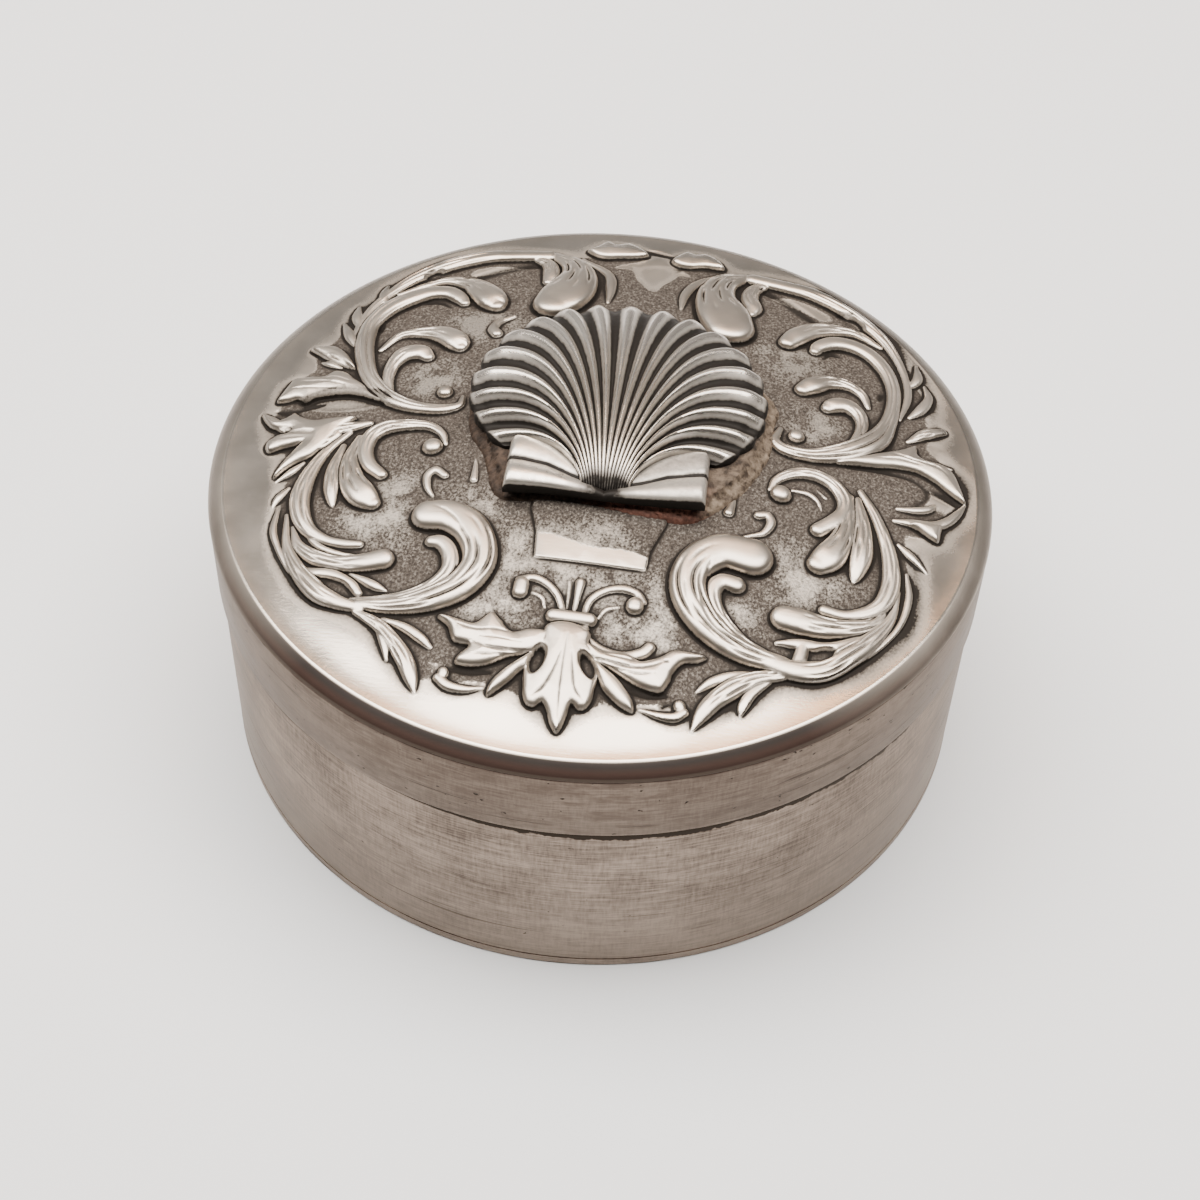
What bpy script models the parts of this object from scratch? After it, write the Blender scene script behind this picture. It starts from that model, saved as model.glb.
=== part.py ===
"""A round silver box with a lift-off embossed lid and an applied scallop shell.

Metres, +Z up. The origin is the centre of the base, on the surface the box stands on.
The palmette at the front of the lid looks towards -Y.
"""
import bmesh
import bpy
from math import cos, hypot, pi, radians, sin
from mathutils import Vector
from mathutils.geometry import delaunay_2d_cdt

for old_object in list(bpy.data.objects):
    bpy.data.objects.remove(old_object)

# Box and lid, outside
lid_radius = 0.0300
lid_overhang = 0.00024
lid_height = 0.0235
lid_edge_rounding = 0.000675
seam_height = 0.0164
seam_gap = 0.00015

# Sheet thicknesses
base_thickness = 0.0008
base_edge_chamfer = 0.0002
wall_thickness = 0.0009
lid_plate_thickness = 0.0009

# Sleeve that keeps the lid in place
collar_thickness = 0.0005
collar_solder_gap = 0.00005
collar_sliding_clearance = 0.00009
collar_rise = 0.0040
collar_depth = 0.0050

# Pillowed field of the lid inside its plain border
border_width = 0.0021
dome_rise = 0.00255
weld_distance = 0.000002

# Bed under the shell
bond_thickness = 0.0010
bond_seat_gap = 0.0001

# Scallop shell
shell_place_x = 0.0011
shell_place_y = -0.0069
shell_width = 0.0229
shell_length = 0.0209
shell_widest_y = 0.0100
shell_low_drop = 0.0085
shell_crown_height = 0.0029
shell_rim_height = 0.0013
shell_lip_height = 0.0006
umbo_width = 0.0033
umbo_y = 0.0001
umbo_height = 0.0017
rib_depth = 0.0005
rib_overreach = 0.00025
ear_width = 0.0149
ear_length = 0.0044
ear_overhang = 0.0006
ear_front_height = 0.00055
ear_lobe_height = 0.0013
ear_groove_height = 0.0008

# Counts, angles and shares
facet_count = 96
edge_steps = 4
dome_rings = 4
rib_count = 19
rib_facets = 4
rib_rows = 11
bond_rings = 3
smooth_angle = radians(35)
shell_turn = radians(2.2)
lowest_rib_angle = radians(-38)
highest_rib_angle = radians(90)
rib_bend_x_share = 0.36
rib_bend_outer_y_share = 1.12
rib_bend_centre_y_share = 0.62
rib_bend_fade_power = 1.5
crown_place_share = 0.35
lip_start_share = 0.94
rib_growth_share = 0.35

# The ear from its inner end to its outer one: how far out each section lies, as shares of half
# the width, and its groove and back edge, as shares of the length. It is lower at its inner end.
ear_section_shares = ((0.0, 0.16, 0.36), (0.35, 0.27, 0.68), (0.6, 0.43, 1.1), (0.85, 0.5, 1.22),
                      (1.0, 0.51, 1.0))
ear_inner_height_share = 0.45
first_lobe_share = 0.4
second_lobe_share = 0.4

# Stamped leaves: each is a spine of (x, y, half width), as shares of the ornament's radius, which
# is itself a share of the field's
ornament_radius_share = 1.075
leaf_height_share = 0.8
leaf_shoulder_share = 0.5
blunt_end_share = 0.009
clear_of_leaf_share = 1.3
field_ring_shares = ((0.0, 1), (0.25, 8), (0.5, 16), (0.72, 32), (0.88, 48))
right_front_leaf_shares = (
    ((0.52, -0.62, 0.02), (0.42, -0.605, 0.028), (0.34, -0.56, 0.036), (0.285, -0.49, 0.042),
     (0.27, -0.42, 0.043), (0.295, -0.36, 0.046), (0.345, -0.325, 0.047), (0.41, -0.328, 0.05)),
    ((0.45, -0.05, 0.01), (0.49, -0.018, 0.016), (0.54, -0.01, 0.018), (0.59, -0.03, 0.019),
     (0.622, -0.075, 0.02), (0.622, -0.12, 0.02), (0.60, -0.16, 0.022), (0.565, -0.195, 0.02)),
    ((0.64, -0.08, 0.01), (0.635, -0.14, 0.018), (0.622, -0.22, 0.03), (0.598, -0.275, 0.037),
     (0.575, -0.305, 0.028)),
    ((0.67, -0.05, 0.008), (0.70, -0.10, 0.015), (0.735, -0.19, 0.02), (0.752, -0.27, 0.024),
     (0.752, -0.33, 0.024), (0.735, -0.385, 0.023), (0.70, -0.42, 0.018), (0.65, -0.44, 0.014),
     (0.60, -0.438, 0.014)),
    ((0.745, -0.42, 0.006), (0.72, -0.445, 0.016), (0.67, -0.475, 0.022), (0.61, -0.49, 0.028),
     (0.55, -0.49, 0.034), (0.508, -0.488, 0.032)),
    ((0.775, -0.38, 0.005), (0.76, -0.44, 0.012), (0.715, -0.51, 0.022), (0.665, -0.565, 0.028),
     (0.61, -0.612, 0.028), (0.55, -0.628, 0.026), (0.50, -0.625, 0.022)),
    ((0.54, -0.65, 0.01), (0.47, -0.675, 0.02), (0.42, -0.705, 0.026), (0.375, -0.75, 0.022),
     (0.345, -0.79, 0.016), (0.33, -0.83, 0.004)),
)
left_front_leaf_shares = (
    ((-0.50, -0.60, 0.014), (-0.42, -0.60, 0.02), (-0.34, -0.58, 0.03), (-0.27, -0.535, 0.037),
     (-0.235, -0.47, 0.039), (-0.24, -0.41, 0.041), (-0.275, -0.352, 0.044), (-0.33, -0.322, 0.043),
     (-0.382, -0.322, 0.04)),
    ((-0.405, -0.035, 0.01), (-0.44, -0.01, 0.013), (-0.49, -0.008, 0.017), (-0.55, -0.02, 0.022),
     (-0.585, -0.055, 0.022), (-0.59, -0.11, 0.021), (-0.568, -0.158, 0.019), (-0.53, -0.19, 0.015)),
    ((-0.622, -0.08, 0.01), (-0.622, -0.14, 0.02), (-0.60, -0.215, 0.031), (-0.565, -0.262, 0.035),
     (-0.532, -0.288, 0.02)),
    ((-0.66, -0.08, 0.008), (-0.69, -0.12, 0.014), (-0.715, -0.19, 0.021), (-0.72, -0.27, 0.026),
     (-0.702, -0.335, 0.023), (-0.668, -0.383, 0.018), (-0.62, -0.41, 0.014), (-0.54, -0.42, 0.01)),
    ((-0.715, -0.40, 0.006), (-0.685, -0.43, 0.014), (-0.63, -0.468, 0.02), (-0.57, -0.483, 0.021),
     (-0.51, -0.477, 0.025), (-0.467, -0.465, 0.027)),
    ((-0.74, -0.38, 0.006), (-0.715, -0.45, 0.013), (-0.665, -0.52, 0.02), (-0.605, -0.575, 0.025),
     (-0.55, -0.60, 0.019), (-0.51, -0.61, 0.012)),
    ((-0.50, -0.63, 0.009), (-0.44, -0.66, 0.017), (-0.395, -0.70, 0.021), (-0.355, -0.75, 0.02),
     (-0.332, -0.79, 0.015), (-0.315, -0.83, 0.004)),
)
right_back_leaf_shares = (
    ((0.44, 0.13, 0.006), (0.435, 0.09, 0.012), (0.46, 0.062, 0.015), (0.52, 0.058, 0.018),
     (0.58, 0.078, 0.024), (0.64, 0.115, 0.03), (0.69, 0.175, 0.027), (0.715, 0.25, 0.019),
     (0.725, 0.33, 0.016), (0.722, 0.40, 0.017), (0.70, 0.47, 0.019), (0.66, 0.525, 0.021),
     (0.61, 0.552, 0.022), (0.555, 0.55, 0.022), (0.515, 0.52, 0.018)),
    ((0.60, 0.14, 0.008), (0.635, 0.17, 0.013), (0.648, 0.21, 0.014), (0.638, 0.255, 0.018),
     (0.605, 0.28, 0.022), (0.565, 0.27, 0.019)),
    ((0.66, 0.31, 0.006), (0.642, 0.345, 0.012), (0.60, 0.37, 0.017), (0.55, 0.365, 0.021),
     (0.51, 0.337, 0.025), (0.485, 0.312, 0.019)),
    ((0.68, 0.595, 0.006), (0.61, 0.622, 0.015), (0.545, 0.613, 0.021), (0.49, 0.585, 0.025),
     (0.452, 0.545, 0.027), (0.43, 0.51, 0.022)),
    ((0.765, 0.42, 0.006), (0.75, 0.48, 0.01), (0.70, 0.56, 0.013), (0.64, 0.63, 0.016),
     (0.56, 0.70, 0.018), (0.48, 0.755, 0.02), (0.40, 0.78, 0.021), (0.31, 0.795, 0.016)),
    ((0.245, 0.77, 0.024), (0.218, 0.70, 0.042), (0.225, 0.635, 0.05), (0.25, 0.575, 0.057),
     (0.27, 0.525, 0.05)),
)
left_back_leaf_shares = (
    ((-0.39, 0.10, 0.006), (-0.39, 0.075, 0.01), (-0.43, 0.057, 0.014), (-0.50, 0.062, 0.017),
     (-0.56, 0.087, 0.02), (-0.61, 0.132, 0.02), (-0.65, 0.195, 0.02), (-0.68, 0.28, 0.022),
     (-0.692, 0.35, 0.022), (-0.69, 0.42, 0.022), (-0.66, 0.49, 0.025), (-0.61, 0.542, 0.026),
     (-0.56, 0.572, 0.024), (-0.51, 0.575, 0.022), (-0.465, 0.545, 0.017)),
    ((-0.58, 0.14, 0.008), (-0.592, 0.17, 0.013), (-0.592, 0.23, 0.017), (-0.57, 0.275, 0.023),
     (-0.53, 0.287, 0.023), (-0.505, 0.27, 0.015)),
    ((-0.64, 0.31, 0.006), (-0.60, 0.365, 0.012), (-0.53, 0.378, 0.019), (-0.48, 0.367, 0.027),
     (-0.442, 0.34, 0.029)),
    ((-0.65, 0.58, 0.006), (-0.54, 0.64, 0.015), (-0.46, 0.625, 0.022), (-0.42, 0.588, 0.033),
     (-0.385, 0.547, 0.036)),
    ((-0.72, 0.44, 0.006), (-0.71, 0.50, 0.011), (-0.675, 0.58, 0.013), (-0.62, 0.65, 0.018),
     (-0.53, 0.715, 0.02), (-0.44, 0.77, 0.021), (-0.36, 0.79, 0.021), (-0.27, 0.80, 0.016)),
    ((-0.195, 0.76, 0.026), (-0.168, 0.695, 0.042), (-0.172, 0.635, 0.053), (-0.19, 0.58, 0.055),
     (-0.208, 0.54, 0.046)),
)
palmette_and_cartouche_leaf_shares = (
    ((0.01, -0.62, 0.032), (0.005, -0.70, 0.045), (0.01, -0.77, 0.064), (0.017, -0.82, 0.035),
     (0.02, -0.875, 0.008)),
    ((-0.07, -0.69, 0.014), (-0.13, -0.70, 0.028), (-0.19, -0.705, 0.042), (-0.24, -0.685, 0.028),
     (-0.295, -0.637, 0.006)),
    ((0.09, -0.685, 0.014), (0.15, -0.71, 0.026), (0.20, -0.71, 0.036), (0.25, -0.69, 0.036),
     (0.30, -0.66, 0.018), (0.34, -0.65, 0.005)),
    ((-0.09, -0.73, 0.012), (-0.125, -0.77, 0.017), (-0.145, -0.82, 0.004)),
    ((0.12, -0.73, 0.014), (0.165, -0.765, 0.018), (0.193, -0.815, 0.004)),
    ((-0.04, -0.59, 0.02), (0.065, -0.59, 0.02)),
    ((0.62, 0.06, 0.008), (0.70, 0.098, 0.024), (0.78, 0.128, 0.042), (0.84, 0.105, 0.034),
     (0.885, 0.08, 0.022), (0.90, 0.05, 0.008)),
    ((0.905, -0.02, 0.006), (0.885, -0.06, 0.012), (0.85, -0.095, 0.018), (0.80, -0.10, 0.01)),
    ((-0.60, 0.09, 0.01), (-0.67, 0.13, 0.026), (-0.74, 0.145, 0.042), (-0.81, 0.13, 0.04),
     (-0.855, 0.11, 0.02)),
    ((-0.60, -0.003, 0.008), (-0.66, -0.025, 0.018), (-0.72, -0.04, 0.021), (-0.78, -0.042, 0.016),
     (-0.83, -0.02, 0.015), (-0.862, 0.005, 0.012), (-0.885, 0.03, 0.004)),
    ((-0.69, 0.225, 0.006), (-0.75, 0.275, 0.024), (-0.815, 0.298, 0.01)),
)

# The bed's right half, from the hinge edge to the top, as shares of the shell's width and length
bond_outline_shares = ((0.0, 0.03), (0.13, 0.03), (0.26, 0.035), (0.28, 0.14), (0.33, 0.24),
                       (0.42, 0.32), (0.465, 0.47), (0.44, 0.66), (0.355, 0.82), (0.21, 0.92),
                       (0.0, 0.96))
bond_centre_share = 0.45

# Sizes worked out from those above
body_radius = lid_radius - lid_overhang
body_inner_radius = body_radius - wall_thickness
collar_radius = body_inner_radius - collar_solder_gap
skirt_inner_radius = collar_radius + collar_sliding_clearance
skirt_top = lid_height - lid_plate_thickness
field_radius = lid_radius - border_width
shell_base = lid_height + dome_rise + bond_seat_gap + bond_thickness
ornament_radius = ornament_radius_share * field_radius
leaf_spines = [[tuple(share * ornament_radius for share in place) for place in leaf]
               for group in (right_front_leaf_shares, left_front_leaf_shares,
                             right_back_leaf_shares, left_back_leaf_shares,
                             palmette_and_cartouche_leaf_shares)
               for leaf in group]


def dome_height(radius):
    """Height of the lid's smooth top face at a distance from the axis."""
    if radius >= field_radius:
        return lid_height
    return lid_height + dome_rise * (1 - (radius / field_radius) ** 2)


def mix(first, second, share):
    return first + (second - first) * share


def silver(name, colour, roughness):
    """A metal finish."""
    material = bpy.data.materials.new(name)
    material.use_nodes = True
    shader = material.node_tree.nodes["Principled BSDF"]
    shader.inputs["Base Color"].default_value = (*colour, 1)
    shader.inputs["Metallic"].default_value = 1
    shader.inputs["Roughness"].default_value = roughness
    return material


def cement(name, colour, roughness):
    """A dull finish that isn't metal."""
    material = silver(name, colour, roughness)
    material.node_tree.nodes["Principled BSDF"].inputs["Metallic"].default_value = 0
    return material


def add_object(name, vertices, faces, material, parent=None):
    """A mesh object with outward faces and smooth round surfaces."""
    mesh = bpy.data.meshes.new(name)
    mesh.from_pydata(vertices, [], faces)
    work = bmesh.new()
    work.from_mesh(mesh)
    bmesh.ops.recalc_face_normals(work, faces=work.faces)
    work.to_mesh(mesh)
    work.free()
    mesh.shade_smooth()
    mesh.set_sharp_from_angle(angle=smooth_angle)
    mesh.materials.append(material)
    piece = bpy.data.objects.new(name, mesh)
    bpy.context.collection.objects.link(piece)
    piece.parent = parent
    return piece


def turned_mesh(profile, closed):
    """Turns a profile of (radius, height) about +Z; a radius of zero is a pole."""
    vertices = []
    rings = []
    for radius, height in profile:
        first = len(vertices)
        if radius == 0:
            vertices.append((0, 0, height))
            rings.append([first] * facet_count)
            continue
        for step in range(facet_count):
            angle = 2 * pi * step / facet_count
            vertices.append((radius * cos(angle), radius * sin(angle), height))
        rings.append(list(range(first, first + facet_count)))
    pairs = list(zip(rings, rings[1:]))
    if closed:
        pairs.append((rings[-1], rings[0]))
    faces = []
    for low, high in pairs:
        for step in range(facet_count):
            after = (step + 1) % facet_count
            corners = [low[step], low[after], high[after], high[step]]
            faces.append(list(dict.fromkeys(corners)))
    return vertices, faces


def turned(name, profile, closed, material, parent=None):
    """A piece turned from its profile."""
    return add_object(name, *turned_mesh(profile, closed), material, parent)


def tube_profile(inner, outer, low, high):
    return [(inner, low), (outer, low), (outer, high), (inner, high)]


def make_bottom_plate():
    """Flat disc that closes the foot of the body."""
    profile = [(0, 0), (body_radius - base_edge_chamfer, 0), (body_radius, base_edge_chamfer),
               (body_radius, base_thickness), (0, base_thickness)]
    return turned("bottom_plate", profile, False, body_silver)


def make_body_wall():
    """Straight wall that stands on the bottom plate."""
    profile = tube_profile(body_inner_radius, body_radius, base_thickness, seam_height)
    return turned("body_wall", profile, True, body_silver)


def make_inner_collar():
    """Sleeve inside the mouth of the body, standing up into the lid."""
    profile = tube_profile(collar_radius - collar_thickness, collar_radius,
                           seam_height - collar_depth, seam_height + collar_rise)
    return turned("inner_collar", profile, True, inner_silver)


def make_lid_skirt():
    """Wall of the lid, which slides over the sleeve."""
    profile = tube_profile(skirt_inner_radius, lid_radius, seam_height + seam_gap, skirt_top)
    return turned("lid_skirt", profile, True, body_silver, lid_lift)


def leaf_nearness(spine, x, y):
    """How near a place is to a leaf's spine, as a share of its half width, and that half width."""
    nearest, half_width = None, 0
    for (x0, y0, w0), (x1, y1, w1) in zip(spine, spine[1:]):
        way_x, way_y = x1 - x0, y1 - y0
        share = ((x - x0) * way_x + (y - y0) * way_y) / (way_x ** 2 + way_y ** 2)
        share = min(1, max(0, share))
        width = mix(w0, w1, share)
        near = hypot(x - mix(x0, x1, share), y - mix(y0, y1, share)) / width
        if nearest is None or near < nearest:
            nearest, half_width = near, width
    return nearest, half_width


def leaf_height(x, y):
    """How far the stamped leaves rise over the smooth dome: flat crests with sloping sides."""
    highest = 0
    for spine in leaf_spines:
        near, half_width = leaf_nearness(spine, x, y)
        slope = min(1, max(0, (1 - near) / (1 - leaf_shoulder_share)))
        highest = max(highest, leaf_height_share * half_width * slope)
    return highest


def leaf_loop(spine, spread):
    """The closed line round a leaf at a share of its half width, with a round blunt end."""
    sides = ([], [])
    ways = []
    for index, (x, y, width) in enumerate(spine):
        before = spine[max(0, index - 1)]
        after = spine[min(len(spine) - 1, index + 1)]
        way = Vector((after[0] - before[0], after[1] - before[1])).normalized()
        ways.append(way)
        for side, sign in zip(sides, (1, -1)):
            side.append(Vector((x - sign * way.y * width * spread, y + sign * way.x * width * spread)))
    caps = []
    for (x, y, width), way in ((spine[0], -ways[0]), (spine[-1], ways[-1])):
        reach = way * width * spread
        across = Vector((-reach.y, reach.x))
        middle = Vector((x, y))
        if width < blunt_end_share * ornament_radius:
            caps.append([middle + reach])
        else:
            corner = sin(pi / 4)
            caps.append([middle + (reach + across) * corner, middle + reach,
                         middle + (reach - across) * corner])
    return sides[0] + caps[1] + sides[1][::-1] + caps[0]


def field_points():
    """Plan of the stamped field: its rim, sparse rings and the lines round each leaf."""
    points = [Vector((field_radius * cos(2 * pi * step / facet_count),
                      field_radius * sin(2 * pi * step / facet_count))) for step in range(facet_count)]
    lines = []
    for ring_share, count in field_ring_shares:
        for step in range(count):
            angle = 2 * pi * step / count
            place = Vector((cos(angle), sin(angle))) * ring_share * field_radius
            if all(leaf_nearness(spine, *place)[0] > clear_of_leaf_share for spine in leaf_spines):
                points.append(place)
    for spine in leaf_spines:
        for spread in (1, leaf_shoulder_share):
            first = len(points)
            loop = leaf_loop(spine, spread)
            points += loop
            lines += [(first + step, first + (step + 1) % len(loop)) for step in range(len(loop))]
    return points, lines


def make_lid_plate():
    """Embossed sheet top: plain border, rounded edge, pillowed field and its stamped leaves."""
    stations = [field_radius * ring / dome_rings for ring in range(dome_rings + 1)]
    profile = [(radius, dome_height(radius) - lid_plate_thickness) for radius in stations]
    profile.append((lid_radius, skirt_top))
    for step in range(edge_steps + 1):
        angle = pi / 2 * step / edge_steps
        profile.append((lid_radius - lid_edge_rounding * (1 - cos(angle)),
                        lid_height - lid_edge_rounding * (1 - sin(angle))))
    profile.append((field_radius, lid_height))
    vertices, faces = turned_mesh(profile, False)
    points, lines = field_points()
    places, _, triangles, sources = delaunay_2d_cdt(points, lines, [], 0, weld_distance)[:4]
    rim = len(vertices) - facet_count
    corner_of = []
    for place, source in zip(places, sources):
        on_rim = [index for index in source if index < facet_count]
        if on_rim:
            corner_of.append(rim + on_rim[0])
            continue
        corner_of.append(len(vertices))
        height = dome_height(place.length) + leaf_height(place.x, place.y)
        vertices.append((place.x, place.y, height))
    faces += [[corner_of[index] for index in triangle] for triangle in triangles]
    return add_object("lid_plate", vertices, faces, lid_silver, lid_lift)


def place_on_lid(x, y, height):
    """A point of the shell's own plane, turned and moved to its place on the lid."""
    return (shell_place_x + x * cos(shell_turn) - y * sin(shell_turn),
            shell_place_y + x * sin(shell_turn) + y * cos(shell_turn), height)


def make_shell_bond():
    """Bed that fills the space between the pillowed lid and the shell's flat back."""
    half = [(x * shell_width, y * shell_length) for x, y in bond_outline_shares]
    outline = half + [(-x, y) for x, y in reversed(half[1:-1])]
    centre_y = bond_centre_share * shell_length
    count = len(outline)
    vertices = []
    for on_top in (False, True):
        vertices.append(place_on_lid(0, centre_y, shell_base))
        for ring in range(1, bond_rings + 1):
            for x, y in outline:
                share = ring / bond_rings
                vertices.append(place_on_lid(x * share, mix(centre_y, y, share), shell_base))
        if not on_top:
            vertices = [(x, y, dome_height(hypot(x, y)) + bond_seat_gap) for x, y, z in vertices]
    side = 1 + bond_rings * count
    faces = []
    for first in (0, side):
        for step in range(count):
            after = (step + 1) % count
            faces.append((first, first + 1 + step, first + 1 + after))
            for ring in range(bond_rings - 1):
                inner = first + 1 + ring * count
                outer = inner + count
                faces.append((inner + step, outer + step, outer + after, inner + after))
    rim = 1 + (bond_rings - 1) * count
    for step in range(count):
        after = (step + 1) % count
        faces.append((rim + step, rim + after, side + rim + after, side + rim + step))
    return add_object("shell_bond", vertices, faces, bond_cement, lid_lift)


def rib_ridge(rib):
    """One on a rib's crest, zero in the groove between two ribs."""
    return (1 + cos(2 * pi * rib)) / 2


def rib_point(rib, along):
    """Plan of a rib, from the umbo at 0 to the rim at 1, on a curve that bends outwards."""
    middle_rib = (rib_count - 1) / 2
    side = (rib - middle_rib) / middle_rib
    angle = mix(highest_rib_angle, lowest_rib_angle, abs(side))
    reach = rib_overreach * rib_ridge(rib)
    end_x = (shell_width / 2 - rib_overreach + reach) * cos(angle)
    if side < 0:
        end_x = -end_x
    rise = shell_length - rib_overreach - shell_widest_y if angle > 0 else shell_low_drop
    end_y = shell_widest_y + (rise + reach) * sin(angle)
    start_x = side * umbo_width / 2
    inward = max(0, 1 - abs(side)) ** rib_bend_fade_power
    bend_x = end_x * rib_bend_x_share
    bend_y = end_y * mix(rib_bend_outer_y_share, rib_bend_centre_y_share, inward)
    before, between, after = (1 - along) ** 2, 2 * along * (1 - along), along ** 2
    return (before * start_x + between * bend_x + after * end_x,
            before * umbo_y + between * bend_y + after * end_y)


def rib_height(rib, along):
    """Height of the shell's face over its flat back."""
    if along < crown_place_share:
        share = along / crown_place_share
        height = mix(umbo_height, shell_crown_height, share * (2 - share))
    else:
        share = (along - crown_place_share) / (1 - crown_place_share)
        height = mix(shell_crown_height, shell_rim_height, share ** 2)
    if along > lip_start_share:
        share = (along - lip_start_share) / (1 - lip_start_share)
        height = mix(height, shell_lip_height, share)
    depth = rib_depth * min(1, along / rib_growth_share)
    return height - depth * (1 - rib_ridge(rib)) * min(1, height / shell_rim_height)


def ear_section(place_share, groove_share, back_share):
    """One section of an ear, as (y, height): a front face, two lobes with a groove, and a back."""
    tall = mix(ear_inner_height_share, 1, place_share)
    groove_y = groove_share * ear_length
    back_y = back_share * ear_length
    section = [(0, 0), (0, ear_front_height), (groove_y * first_lobe_share, ear_lobe_height),
               (groove_y, ear_groove_height), (mix(groove_y, back_y, second_lobe_share), ear_lobe_height),
               (back_y, ear_groove_height), (back_y, 0)]
    return [(y - ear_overhang, height * tall) for y, height in section]


def make_shell_ears():
    """The two ears and the narrow bar that joins them under the umbo."""
    rows = []
    mirrored = [(-place, groove, back) for place, groove, back in reversed(ear_section_shares[1:])]
    for place, groove, back in mirrored + list(ear_section_shares):
        x = place * ear_width / 2
        rows.append([place_on_lid(x, y, shell_base + height)
                     for y, height in ear_section(abs(place), groove, back)])
    count = len(rows[0])
    vertices = [corner for row in rows for corner in row]
    faces = [tuple(range(count)), tuple(range(len(vertices) - count, len(vertices)))]
    for first in range(0, len(vertices) - count, count):
        for step in range(count):
            after = (step + 1) % count
            faces.append((first + step, first + after, first + count + after, first + count + step))
    ears = add_object("shell_ears_guide", vertices, faces, shell_silver, lid_lift)
    ears.hide_render = True
    ears.display_type = "WIRE"
    return ears


def make_scallop_shell():
    """Cast shell: ribs that fan out from the umbo, joined to its ears."""
    columns = rib_count * rib_facets + 1
    vertices = []
    for column in range(columns):
        rib = column / rib_facets - 1 / 2
        for row in range(rib_rows):
            along = row / (rib_rows - 1)
            x, y = rib_point(rib, along)
            vertices.append(place_on_lid(x, y, shell_base + rib_height(rib, along)))
    faces = []
    for column in range(columns - 1):
        for row in range(rib_rows - 1):
            corner = column * rib_rows + row
            faces.append((corner, corner + 1, corner + rib_rows + 1, corner + rib_rows))
    top_row = [column * rib_rows + rib_rows - 1 for column in range(columns)]
    low_row = [column * rib_rows for column in range(columns)]
    left = list(range(1, rib_rows - 1))
    right = [(columns - 1) * rib_rows + row for row in range(rib_rows - 2, 0, -1)]
    border = [low_row[0]] + left + top_row + right + low_row[:0:-1]
    back = len(vertices)
    vertices += [(vertices[corner][0], vertices[corner][1], shell_base) for corner in border]
    for step, corner in enumerate(border):
        after = (step + 1) % len(border)
        faces.append((corner, border[after], back + after, back + step))
    faces.append(tuple(range(back, back + len(border))))
    shell = add_object("scallop_shell", vertices, faces, shell_silver, lid_lift)
    join = shell.modifiers.new("Ears", "BOOLEAN")
    join.operation = "UNION"
    join.solver = "EXACT"
    join.object = make_shell_ears()
    return shell


body_silver = silver("Brushed silver", (0.62, 0.58, 0.53), 0.34)
inner_silver = silver("Inner silver", (0.70, 0.68, 0.64), 0.28)
lid_silver = silver("Embossed silver", (0.74, 0.71, 0.66), 0.24)
shell_silver = silver("Cast silver", (0.66, 0.63, 0.59), 0.22)
bond_cement = cement("Bedding cement", (0.16, 0.06, 0.035), 0.75)

# The lid's pieces ride on this empty, which stands on the axis along which the lid lifts
lid_lift = bpy.data.objects.new("lid_lift", None)
bpy.context.collection.objects.link(lid_lift)

make_bottom_plate()
make_body_wall()
make_inner_collar()
make_lid_skirt()
make_lid_plate()
make_shell_bond()
make_scallop_shell()
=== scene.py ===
import math

import bmesh
import bpy
import numpy as np
from mathutils import Matrix, Vector


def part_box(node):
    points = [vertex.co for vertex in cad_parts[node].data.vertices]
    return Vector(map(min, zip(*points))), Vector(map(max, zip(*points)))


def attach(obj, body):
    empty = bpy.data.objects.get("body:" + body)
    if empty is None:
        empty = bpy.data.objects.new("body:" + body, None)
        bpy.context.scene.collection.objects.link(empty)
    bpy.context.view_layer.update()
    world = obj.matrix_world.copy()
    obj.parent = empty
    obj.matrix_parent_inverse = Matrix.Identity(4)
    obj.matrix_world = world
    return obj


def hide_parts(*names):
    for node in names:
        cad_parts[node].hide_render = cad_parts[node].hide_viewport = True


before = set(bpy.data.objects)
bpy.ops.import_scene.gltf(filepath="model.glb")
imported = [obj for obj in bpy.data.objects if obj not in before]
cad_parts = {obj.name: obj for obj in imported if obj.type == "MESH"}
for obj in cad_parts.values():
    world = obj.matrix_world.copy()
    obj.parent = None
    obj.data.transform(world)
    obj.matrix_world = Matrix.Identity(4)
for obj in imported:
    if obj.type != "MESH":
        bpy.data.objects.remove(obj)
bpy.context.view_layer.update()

# BOTTOM PLATE
# A flat disc of sheet silver soldered under the wall. Its edge is filed a little round.
plate_low, plate_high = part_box("bottom_plate")
body_radius = plate_high[0]
plate_edge_radius = 0.00018
round_steps = 288


def new_finish(name, colour, roughness, metallic=1):
    """A new material, metal unless told otherwise, with its node tree and its shader."""
    material = bpy.data.materials.new(name)
    material.use_nodes = True
    tree = material.node_tree
    shader = tree.nodes["Principled BSDF"]
    shader.inputs["Base Color"].default_value = (*colour, 1)
    shader.inputs["Metallic"].default_value = metallic
    shader.inputs["Roughness"].default_value = roughness
    return material, tree, shader


def node(tree, kind, **settings):
    """A node with its settings. Any other key is a socket, by name or as i and its number."""
    made = tree.nodes.new(kind)
    for key, value in settings.items():
        if hasattr(made, key):
            setattr(made, key, value)
            continue
        socket = made.inputs[int(key[1:])] if key[1:].isdigit() else made.inputs[key.replace("_", " ")]
        if isinstance(value, bpy.types.NodeSocket):
            tree.links.new(value, socket)
        else:
            socket.default_value = value
    return made


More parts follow.
